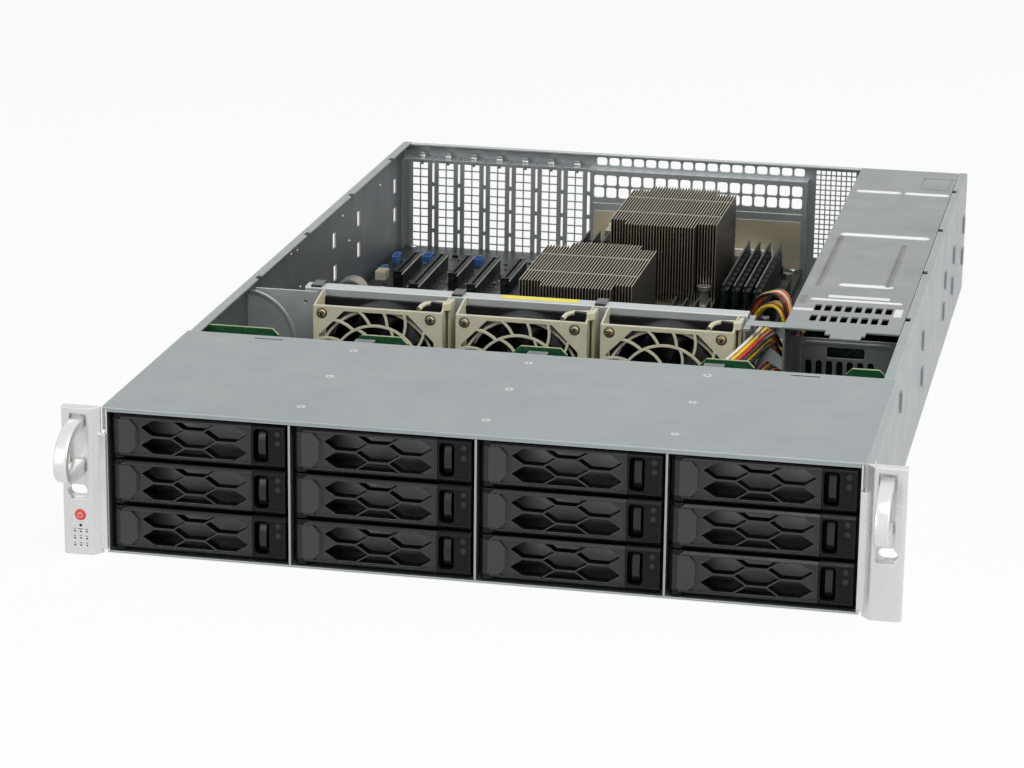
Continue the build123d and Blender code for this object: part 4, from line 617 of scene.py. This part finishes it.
def lamp(name, place, target, size, power):
    data = bpy.data.lights.new(name, "AREA")
    data.shape = "RECTANGLE"
    data.size, data.size_y = size
    data.energy = power
    obj = bpy.data.objects.new(name, data)
    scene.collection.objects.link(obj)
    obj.location = place
    obj.rotation_euler = (Vector(target) - Vector(place)).to_track_quat("-Z", "Y").to_euler()


lamp("key", (0.9, -1.2, 2.6), (0, 0, 0), (2.2, 1.6), 48)
lamp("front", (-1.6, -2.6, 1.3), (0, -0.3, 0), (1.6, 1.2), 22)
lamp("right", (2.8, -0.6, 1.2), (0, 0, 0), (1.6, 1.4), 20)
scene.view_settings.view_transform = "Standard"

# Nodes of one material
paint("front_top_cover", "zinc")
paint("slot_covers", "zinc_wall")
paint("power_button", "power_red")
for number in range(1, 13):
    paint(f"tray_button_{number}", "button")


# Nodes of several materials
def spans(lo, hi):
    return hi - lo


# The left wall's inner face and the floor take the darker zinc: painted shade
dress(
    "chassis_base",
    lambda lo, hi: "zinc_wall",
    [
        (lambda c, n: (n[:, 0] > 0.6) & (c[:, 0] < -215), "zinc_wall", "zinc_painted_shade"),
        (lambda c, n: (n[:, 2] > 0.6) & (c[:, 2] < 3), "zinc_wall", "zinc_painted_shade"),
        (lambda c, n: (n[:, 1] < -0.9) & (np.abs(c[:, 0]) > 210) & (c[:, 1] < 2), "zinc_wall", "ear"),
    ],
)
# The drive cage takes the darker zinc, painted shade; its front faces keep the plain zinc and its side
# faces near the front are near-black, also painted shade
dress(
    "drive_cage",
    lambda lo, hi: "zinc_painted_shade",
    [
        (lambda c, n: (n[:, 1] < -0.9) & (c[:, 1] < 3), "zinc_painted_shade", "zinc_wall"),
        (lambda c, n: (np.abs(n[:, 0]) > 0.6) & (c[:, 1] < 30), "zinc_painted_shade", "carrier_painted_shade"),
    ],
)


def choose_tray(lo, hi):
    size = spans(lo, hi)
    if size[1] > 170:
        return "carrier"
    return "drive" if size[1] > 100 else "lamp"


# Recessed faces of the carriers are near-black: painted shade
TRAY_RULES = [
    (lambda c, n: c[:, 1] > 20.6, "carrier", "rail"),
    (lambda c, n: (c[:, 1] > 9.5) & (n[:, 1] < -0.5), "carrier", "carrier_painted_shade"),
]
for number in range(1, 13):
    dress(f"drive_tray_{number}", choose_tray, TRAY_RULES)


# The recessed web takes a lighter black, a painted highlight; faces deep in the lever are near-black,
# painted shade
LEVER_RULES = [
    (lambda c, n: (n[:, 1] < -0.9) & (c[:, 1] > 1.8) & (c[:, 1] < 4), "lever", "lever_web_painted_light"),
    (lambda c, n: (n[:, 1] > 0.9) | ((np.abs(n[:, 1]) < 0.5) & (c[:, 1] > 4)), "lever", "carrier_painted_shade"),
]
for number in range(1, 13):
    dress(f"tray_handle_{number}", lambda lo, hi: "lever", LEVER_RULES)


def choose_backplane(lo, hi):
    return "pcb_bright" if spans(lo, hi)[0] > 300 else "slot"


dress(
    "backplane",
    choose_backplane,
    [(lambda c, n: (c[:, 2] > 60) & (n[:, 2] > 0.6), "pcb_bright", "pcb_edge")],
)


def choose_fan(lo, hi):
    size = spans(lo, hi)
    if size[0] > 83:
        return "cream"
    if size[0] > 60:
        return "fan_dark"
    return "white" if size[1] > 5 else "screw_dark"


for number, middle in enumerate(FAN_X, 1):
    dress(
        f"fan_{number}",
        choose_fan,
        [
            (
                lambda c, n, m=middle: (c[:, 1] > 265.4) & (np.abs(c[:, 0] - m) < 39.6),
                "cream",
                "fan_inner",
            ),
            (lambda c, n, m=middle: np.hypot(c[:, 0] - m, c[:, 2] - FAN_Z) < 34.5, "screw_dark", "rotor"),
        ],
    )


def choose_partition(lo, hi):
    size = spans(lo, hi)
    # The long bar takes the lighter zinc: painted light
    if size[0] > 200:
        return "zinc_painted_light"
    # The left bracket takes the darker zinc: painted shade
    if lo[0] < -200:
        return "zinc_painted_shade"
    if lo[2] > 80 and size[0] < 10:
        return "rubber"
    if size[0] < 8 and hi[2] < 20:
        return "white"
    return "zinc_wall"


dress("fan_partition", choose_partition)


# Plugs that the scene draws anew: their corners, the look's place and the share of the height
plugs = []


def choose_board(lo, hi):
    size = spans(lo, hi)
    middle = (lo + hi) / 2
    if size[0] > 300:
        return "pcb"
    if hi[2] < 9:
        return "brass"
    if abs(size[1] - 142) < 2:
        return "slot"
    if size[0] > 57 and size[1] > 80:
        return "steel"
    if abs(size[0] - 47.4) < 1:
        return "sink_base"
    if abs(size[0] - 6.4) < 0.3 and abs(size[1] - 6.4) < 0.3:
        return "cap"
    if abs(size[0] - 21) < 0.5 or hi[1] > 709:
        return "steel"
    if abs(size[0] - 34) < 1 and abs(size[1] - 34) < 1:
        return "sink_base"
    if lo[0] < -200 and 595 < middle[1] < 612:
        plugs.append((lo, hi, 0, 0.55))
        return None
    if middle[1] > 612 and middle[0] < -140 and size[0] < 7 and size[1] < 15:
        plugs.append((lo, hi, 1, 0.6))
        return None
    if lo[0] > 83 and middle[1] < 450:
        return "white"
    return "chip"


board_boxes = dress("motherboard", choose_board)
module_boxes = dress("memory_modules", lambda lo, hi: "module")


def choose_sink(lo, hi):
    return "fins" if spans(lo, hi)[0] > 60 else "steel"


# The fins' side faces, down in the channels between them, are darker: painted shade
sink_boxes = dress(
    "cpu_heatsinks",
    choose_sink,
    [(lambda c, n: np.abs(n[:, 0]) > 0.9, "fins", "fins_painted_shade")],
)


def choose_rear(lo, hi):
    return "zinc_wall" if spans(lo, hi)[0] > 200 else "shield"


# The rear panel's top faces take the lighter zinc: painted light
dress(
    "rear_panel",
    choose_rear,
    [(lambda c, n: (n[:, 2] > 0.9) & (c[:, 2] > 60), "zinc_wall", "zinc_painted_light")],
)


def choose_cage(lo, hi):
    size = spans(lo, hi)
    if size[1] > 300:
        return "supply_cover"
    if size[2] > 60 and size[1] < 2.2 and size[0] > 70:
        return "zinc"
    return "pcb" if size[2] > 60 or size[0] > 45 else "slot"


dress("psu_cage", choose_cage)


def choose_supply(lo, hi):
    size = spans(lo, hi)
    if size[1] > 200:
        return "psu_case"
    if size[1] > 20:
        return "psu_black"
    if size[1] < 2:
        return "lamp"
    return "psu_latch" if size[0] < 10 else "psu_black"


dress("psu_lower", choose_supply)
dress("psu_upper", choose_supply)


def choose_ear(lo, hi):
    size = spans(lo, hi)
    if size[2] > 80:
        return "ear"
    return None if size[1] > 20 else "pcb"


dress("left_ear", choose_ear)
dress("right_ear", choose_ear)
screw_boxes = dress("screws", lambda lo, hi: "steel")

# Each wire has its own colour, in the order in which they run
SHEATHS = ["yellow", "black", "red", "yellow", "white", "orange"]
SHEATHS += ["black", "yellow", "red", "black", "yellow", "red"]
sheath_turn = [0]


def choose_wire(lo, hi):
    if lo[0] < -150:
        return "wire_grey"
    sheath_turn[0] += 1
    return "wire_" + SHEATHS[sheath_turn[0] % len(SHEATHS)]


dress("power_cables", choose_wire)


# Pieces of the scene's own
def piece_from(name, bm, body, slot_name, *looks):
    mesh = bpy.data.meshes.new(name)
    bm.to_mesh(mesh)
    bm.free()
    for entry in looks:
        mesh.materials.append(MATS[entry])
    obj = bpy.data.objects.new(name, mesh)
    scene.collection.objects.link(obj)
    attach(obj, body)
    return obj


def add_box(bm, x0, x1, d0, d1, z0, z1, look_index=0):
    """A box between two corners in millimetres."""
    made = bmesh.ops.create_cube(bm, size=1)
    verts = made["verts"]
    middle = at((x0 + x1) / 2, (d0 + d1) / 2, (z0 + z1) / 2)
    bmesh.ops.scale(bm, verts=verts, vec=((x1 - x0) / 1000, (d1 - d0) / 1000, (z1 - z0) / 1000))
    bmesh.ops.translate(bm, verts=verts, vec=middle)
    faces = {face for vert in verts for face in vert.link_faces}
    for face in faces:
        face.material_index = look_index


def make_rotor(number, middle):
    """A fan rotor with a domed hub and blades that overlap as seen from the front."""
    bm = bmesh.new()
    hub_front, hub_rear, hub = 268.2, 283.6, 16.8
    rings = [(0.0, hub_front), (hub * 0.7, hub_front), (hub * 0.94, hub_front + 0.9)]
    rings += [(hub, hub_front + 2.4), (hub, hub_rear)]
    steps = 40
    rows = []
    for radius, depth in rings:
        row = []
        for step in range(steps):
            turn = 2 * math.pi * step / steps
            spot = at(middle + radius * math.cos(turn), depth, FAN_Z + radius * math.sin(turn))
            row.append(bm.verts.new(spot))
        rows.append(row)
    for low, high in zip(rows[:-1], rows[1:]):
        for step in range(steps):
            following = (step + 1) % steps
            bm.faces.new((low[step], low[following], high[following], high[step]))
    blades, stations, turns = 9, 7, 8
    for blade in range(blades):
        start = 2 * math.pi * blade / blades
        grid = []
        for station in range(stations):
            share = station / (stations - 1)
            radius = hub - 0.4 + (36.6 - hub + 0.4) * share
            row = []
            for along in range(turns):
                part = along / (turns - 1)
                angle = start + math.radians(-14 * share + 48 * part)
                depth = 269.4 + 12.4 * (part ** 1.15) + 0.9 * share
                spot = at(middle + radius * math.cos(angle), depth, FAN_Z + radius * math.sin(angle))
                row.append(bm.verts.new(spot))
            grid.append(row)
        for low, high in zip(grid[:-1], grid[1:]):
            for along in range(turns - 1):
                bm.faces.new((low[along], low[along + 1], high[along + 1], high[along]))
    bmesh.ops.remove_doubles(bm, verts=bm.verts, dist=1e-6)
    bmesh.ops.recalc_face_normals(bm, faces=bm.faces)
    obj = piece_from(f"rotor_finish_{number}", bm, f"rotor_{number}", "rotor_plastic", "rotor")
    thick = obj.modifiers.new("thickness", "SOLIDIFY")
    thick.thickness = 0.0009
    thick.offset = 0
    for face in obj.data.polygons:
        face.use_smooth = True
    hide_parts(f"fan_rotor_{number}")


for number, middle in enumerate(FAN_X, 1):
    make_rotor(number, middle)


def make_grip(name, middle):
    """A grip of flat bar, bent to a smooth bow, with rounded edges."""
    half_width, squareness, runs, corners = 4.0, 0.35, 6, 24
    bow = [(-3.6, 79.4), (-14, 79.3), (-24, 77.8), (-31.6, 73.4), (-35.6, 67), (-36.6, 60.6), (-33.6, 55.6)]
    bow += [(-26, 53.2), (-15, 52.6), (-3.6, 53)]
    thick = [7.4, 6.4, 5.6, 5.2, 5.2, 5.4, 6.2, 7.2, 8.0, 8.6]
    points = [np.array((depth, z, width)) for (depth, z), width in zip(bow, thick)]
    points = [2 * points[0] - points[1], *points, 2 * points[-1] - points[-2]]
    line = []
    for a, b, c, d in zip(points[:-3], points[1:-2], points[2:-1], points[3:]):
        for step in range(runs):
            t = step / runs
            curved = (2 * a - 5 * b + 4 * c - d) * t**2 + (3 * b - a - 3 * c + d) * t**3
            line.append(0.5 * (2 * b + (c - a) * t + curved))
    line.append(points[-2])
    bm = bmesh.new()
    rows = []
    for index, (depth, z, width) in enumerate(line):
        ahead = line[min(index + 1, len(line) - 1)] - line[max(index - 1, 0)]
        along = np.array((ahead[0], ahead[1])) / math.hypot(ahead[0], ahead[1])
        row = []
        for corner in range(corners):
            turn = 2 * math.pi * (corner + 0.5) / corners
            across = half_width * math.copysign(abs(math.cos(turn)) ** squareness, math.cos(turn))
            outward = width / 2 * math.copysign(abs(math.sin(turn)) ** squareness, math.sin(turn))
            spot = at(middle + across, depth - along[1] * outward, z + along[0] * outward)
            row.append(bm.verts.new(spot))
        rows.append(row)
    for low, high in zip(rows[:-1], rows[1:]):
        for corner in range(corners):
            following = (corner + 1) % corners
            bm.faces.new((low[corner], low[following], high[following], high[corner]))
    bm.faces.new(rows[0])
    bm.faces.new(rows[-1][::-1])
    bmesh.ops.recalc_face_normals(bm, faces=bm.faces)
    obj = piece_from(name, bm, "chassis", "ear_metal", "grip")
    for face in obj.data.polygons:
        face.use_smooth = len(face.vertices) == 4


make_grip("left_grip", -EAR_X)
make_grip("right_grip", EAR_X)

# Plugs on the board, with a hollow top
bm = bmesh.new()
for lo, hi, look_index, share_up in plugs:
    top_z = lo[2] + (hi[2] - lo[2]) * share_up
    before = set(bm.faces)
    add_box(bm, lo[0], hi[0], lo[1], hi[1], lo[2], top_z, look_index)
    bmesh.ops.recalc_face_normals(bm, faces=[face for face in bm.faces if face not in before])
    tops = [face for face in bm.faces if face not in before and face.normal.z > 0.9]
    bmesh.ops.inset_region(bm, faces=tops, thickness=0.0011, depth=0)
    bmesh.ops.translate(bm, verts=list({vert for face in tops for vert in face.verts}), vec=(0, 0, -0.004))
piece_from("board_plugs", bm, "chassis", "circuit_board", "white", "blue")

# Hexagon heads on the screws of the expansion covers
bm = bmesh.new()
for lo, hi in screw_boxes:
    middle = (lo + hi) / 2
    if middle[1] < 700 or middle[0] > 90:
        continue
    for radius, low, high, sides in ((3.3, 0, 0.7, 20), (2.6, 0.7, 2.4, 6)):
        made = bmesh.ops.create_cone(
            bm,
            cap_ends=True,
            segments=sides,
            radius1=radius / 1000,
            radius2=radius * 0.96 / 1000,
            depth=(high - low) / 1000,
        )
        head_z = hi[2] - 0.6 + (low + high) / 2
        bmesh.ops.translate(bm, verts=made["verts"], vec=at(middle[0], middle[1], head_z))
piece_from("cover_screw_heads", bm, "chassis", "screw_metal", "steel")

# Cross-recessed screw heads at the corners of each fan, the recess drawn as two black bars on the head:
# painted shade
for number, middle in enumerate(FAN_X, 1):
    bm = bmesh.new()
    for x in (-FAN_SCREW_REACH, FAN_SCREW_REACH):
        for z in (-FAN_SCREW_REACH, FAN_SCREW_REACH):
            turn_x, turn_z = middle + x, FAN_Z + z
            made = bmesh.ops.create_cone(
                bm, cap_ends=True, segments=20, radius1=0.0027, radius2=0.0021, depth=0.0009
            )
            bmesh.ops.rotate(bm, verts=made["verts"], matrix=Matrix.Rotation(math.pi / 2, 3, "X"))
            bmesh.ops.translate(bm, verts=made["verts"], vec=at(turn_x, 261.6, turn_z))
            for lean in (1, -1):
                made = bmesh.ops.create_cube(bm, size=1)
                bmesh.ops.scale(bm, verts=made["verts"], vec=(0.0034, 0.0003, 0.0008))
                spin = Matrix.Rotation(lean * math.pi / 4, 3, "Y")
                bmesh.ops.rotate(bm, verts=made["verts"], matrix=spin)
                bmesh.ops.translate(bm, verts=made["verts"], vec=at(turn_x, 261.05, turn_z))
                for face in {face for vert in made["verts"] for face in vert.link_faces}:
                    face.material_index = 1
    piece_from(f"fan_screws_{number}", bm, f"fan_module_{number}", "screw_metal", "brass", "chip")

# The fan levers' rounded finger tabs
for number, middle in enumerate(FAN_X, 1):
    curve = bpy.data.curves.new(f"fan_tab_{number}", "CURVE")
    curve.dimensions = "3D"
    curve.bevel_depth = 0.0016
    curve.bevel_resolution = 4
    line = curve.splines.new("BEZIER")
    spots = [(middle + 27, 266.5, 82.6), (middle + 29.5, 273, 84.3)]
    spots += [(middle + 38, 277, 84.6), (middle + 44.8, 279, 84.2)]
    line.bezier_points.add(len(spots) - 1)
    for point, spot in zip(line.bezier_points, spots):
        point.co = at(*spot)
        point.handle_left_type = point.handle_right_type = "AUTO"
    curve.materials.append(MATS["cream"])
    tab = bpy.data.objects.new(f"fan_tab_{number}", curve)
    scene.collection.objects.link(tab)
    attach(tab, f"fan_module_{number}")

# A blank yellow strip on the bar over the fans
bm = bmesh.new()
add_box(bm, -48.6, 1.8, 292.6, 300.6, 86.45, 86.62)
piece_from("bar_label", bm, "chassis", "grey_plastic", "yellow_label")

# Chips on both faces of each memory module
bm = bmesh.new()
for lo, hi in module_boxes:
    if hi[1] - lo[1] < 100:
        continue
    step = (hi[1] - lo[1] - 10) / 9
    for chip in range(9):
        near = lo[1] + 5 + chip * step + 1.2
        for x0, x1 in ((lo[0] - 0.9, lo[0] - 0.02), (hi[0] + 0.02, hi[0] + 0.9)):
            add_box(bm, x0, x1, near, near + step - 2.6, 24.5, 36.5)
piece_from("memory_chips", bm, "chassis", "circuit_board", "chip")

# Pale strips on the right sides of the expansion connectors: painted highlights along their top edges
bm = bmesh.new()
for lo, hi in board_boxes:
    size = hi - lo
    if 20 < hi[2] < 22 and size[1] > 40 and size[0] < 12 and lo[0] < -90:
        add_box(bm, hi[0] - 0.05, hi[0] + 0.45, lo[1] + 1, hi[1] - 1, hi[2] - 1.4, hi[2] - 0.5)
piece_from("connector_edge_highlights", bm, "chassis", "circuit_board", "silk")

# Small parts on the board, in the free places between the larger ones
bm = bmesh.new()
taken = [(lo, hi) for lo, hi in board_boxes + sink_boxes if hi[0] - lo[0] < 300]
part_sizes = ((1.6, 0.9), (0.9, 1.6), (2.4, 1.6), (3.2, 3.2), (5.0, 4.0), (1.2, 2.2), (4.4, 1.8))
board_surface = 9.6
wanted_parts = 420
most_tries = 9000


def is_free(x, depth, wide, deep):
    """Whether a part at a place keeps 1 mm from every other one."""
    for lo, hi in taken:
        beside = lo[0] - 1 < x + wide and x - 1 < hi[0]
        if beside and lo[1] - 1 < depth + deep and depth - 1 < hi[1]:
            return False
    return True


placed = 0
tries = 0
while placed < wanted_parts and tries < most_tries:
    tries += 1
    wide, deep = random.choice(part_sizes)
    x = random.uniform(-207, 90)
    depth = random.uniform(356, 684)
    if not is_free(x, depth, wide, deep):
        continue
    tall = 0.7 if wide < 4 else 1.4
    kind = random.choice((0, 0, 1, 2, 3)) if wide < 3 else 0
    add_box(bm, x, x + wide, depth, depth + deep, board_surface, board_surface + tall, kind)
    taken.append((np.array((x, depth)), np.array((x + wide, depth + deep))))
    placed += 1
piece_from("board_small_parts", bm, "chassis", "circuit_board", "chip", "tan", "steel", "silk")

# Blank dashes by the lamp holes and the reset hole
bm = bmesh.new()
for row in range(3):
    for place in (-1, 0, 1):
        x = BUTTON_X + place * 3.6
        z = 5.4 + row * 4.2 + 1.6
        add_box(bm, x - 0.8, x + 0.8, -7.04, -6.98, z - 0.22, z + 0.22)
add_box(bm, -232.2, -229.2, -7.04, -6.98, 15.2, 15.6)
piece_from("panel_marks", bm, "chassis", "ear_metal", "ink")

# A ring and a stroke on the power button
bm = bmesh.new()
steps = 32
rows = []
for radius, depth in ((1.25, -7.78), (1.4, -7.86), (1.6, -7.86), (1.75, -7.78)):
    row = []
    for step in range(steps):
        turn = 2 * math.pi * step / steps
        spot = at(BUTTON_X + radius * math.cos(turn), depth, BUTTON_Z + radius * math.sin(turn))
        row.append(bm.verts.new(spot))
    rows.append(row)
for low, high in zip(rows[:-1], rows[1:]):
    for step in range(steps):
        following = (step + 1) % steps
        bm.faces.new((low[step], low[following], high[following], high[step]))
add_box(bm, -230.9, -230.5, -7.86, -7.78, 23.9, 25.2)
piece_from("power_mark", bm, "power_key", "grey_plastic", "silk")

# Rivet heads on the inner side of the left wall
bm = bmesh.new()
for depth, z in ((392, 80), (407, 79), (414, 51), (334, 59.5), (548, 51), (530, 74), (640, 72)):
    made = bmesh.ops.create_uvsphere(bm, u_segments=12, v_segments=6, radius=0.0014)
    bmesh.ops.scale(bm, verts=made["verts"], vec=(0.5, 1, 1))
    bmesh.ops.translate(bm, verts=made["verts"], vec=at(-215.8, depth, z))
piece_from("wall_rivets", bm, "chassis", "screw_metal", "steel")
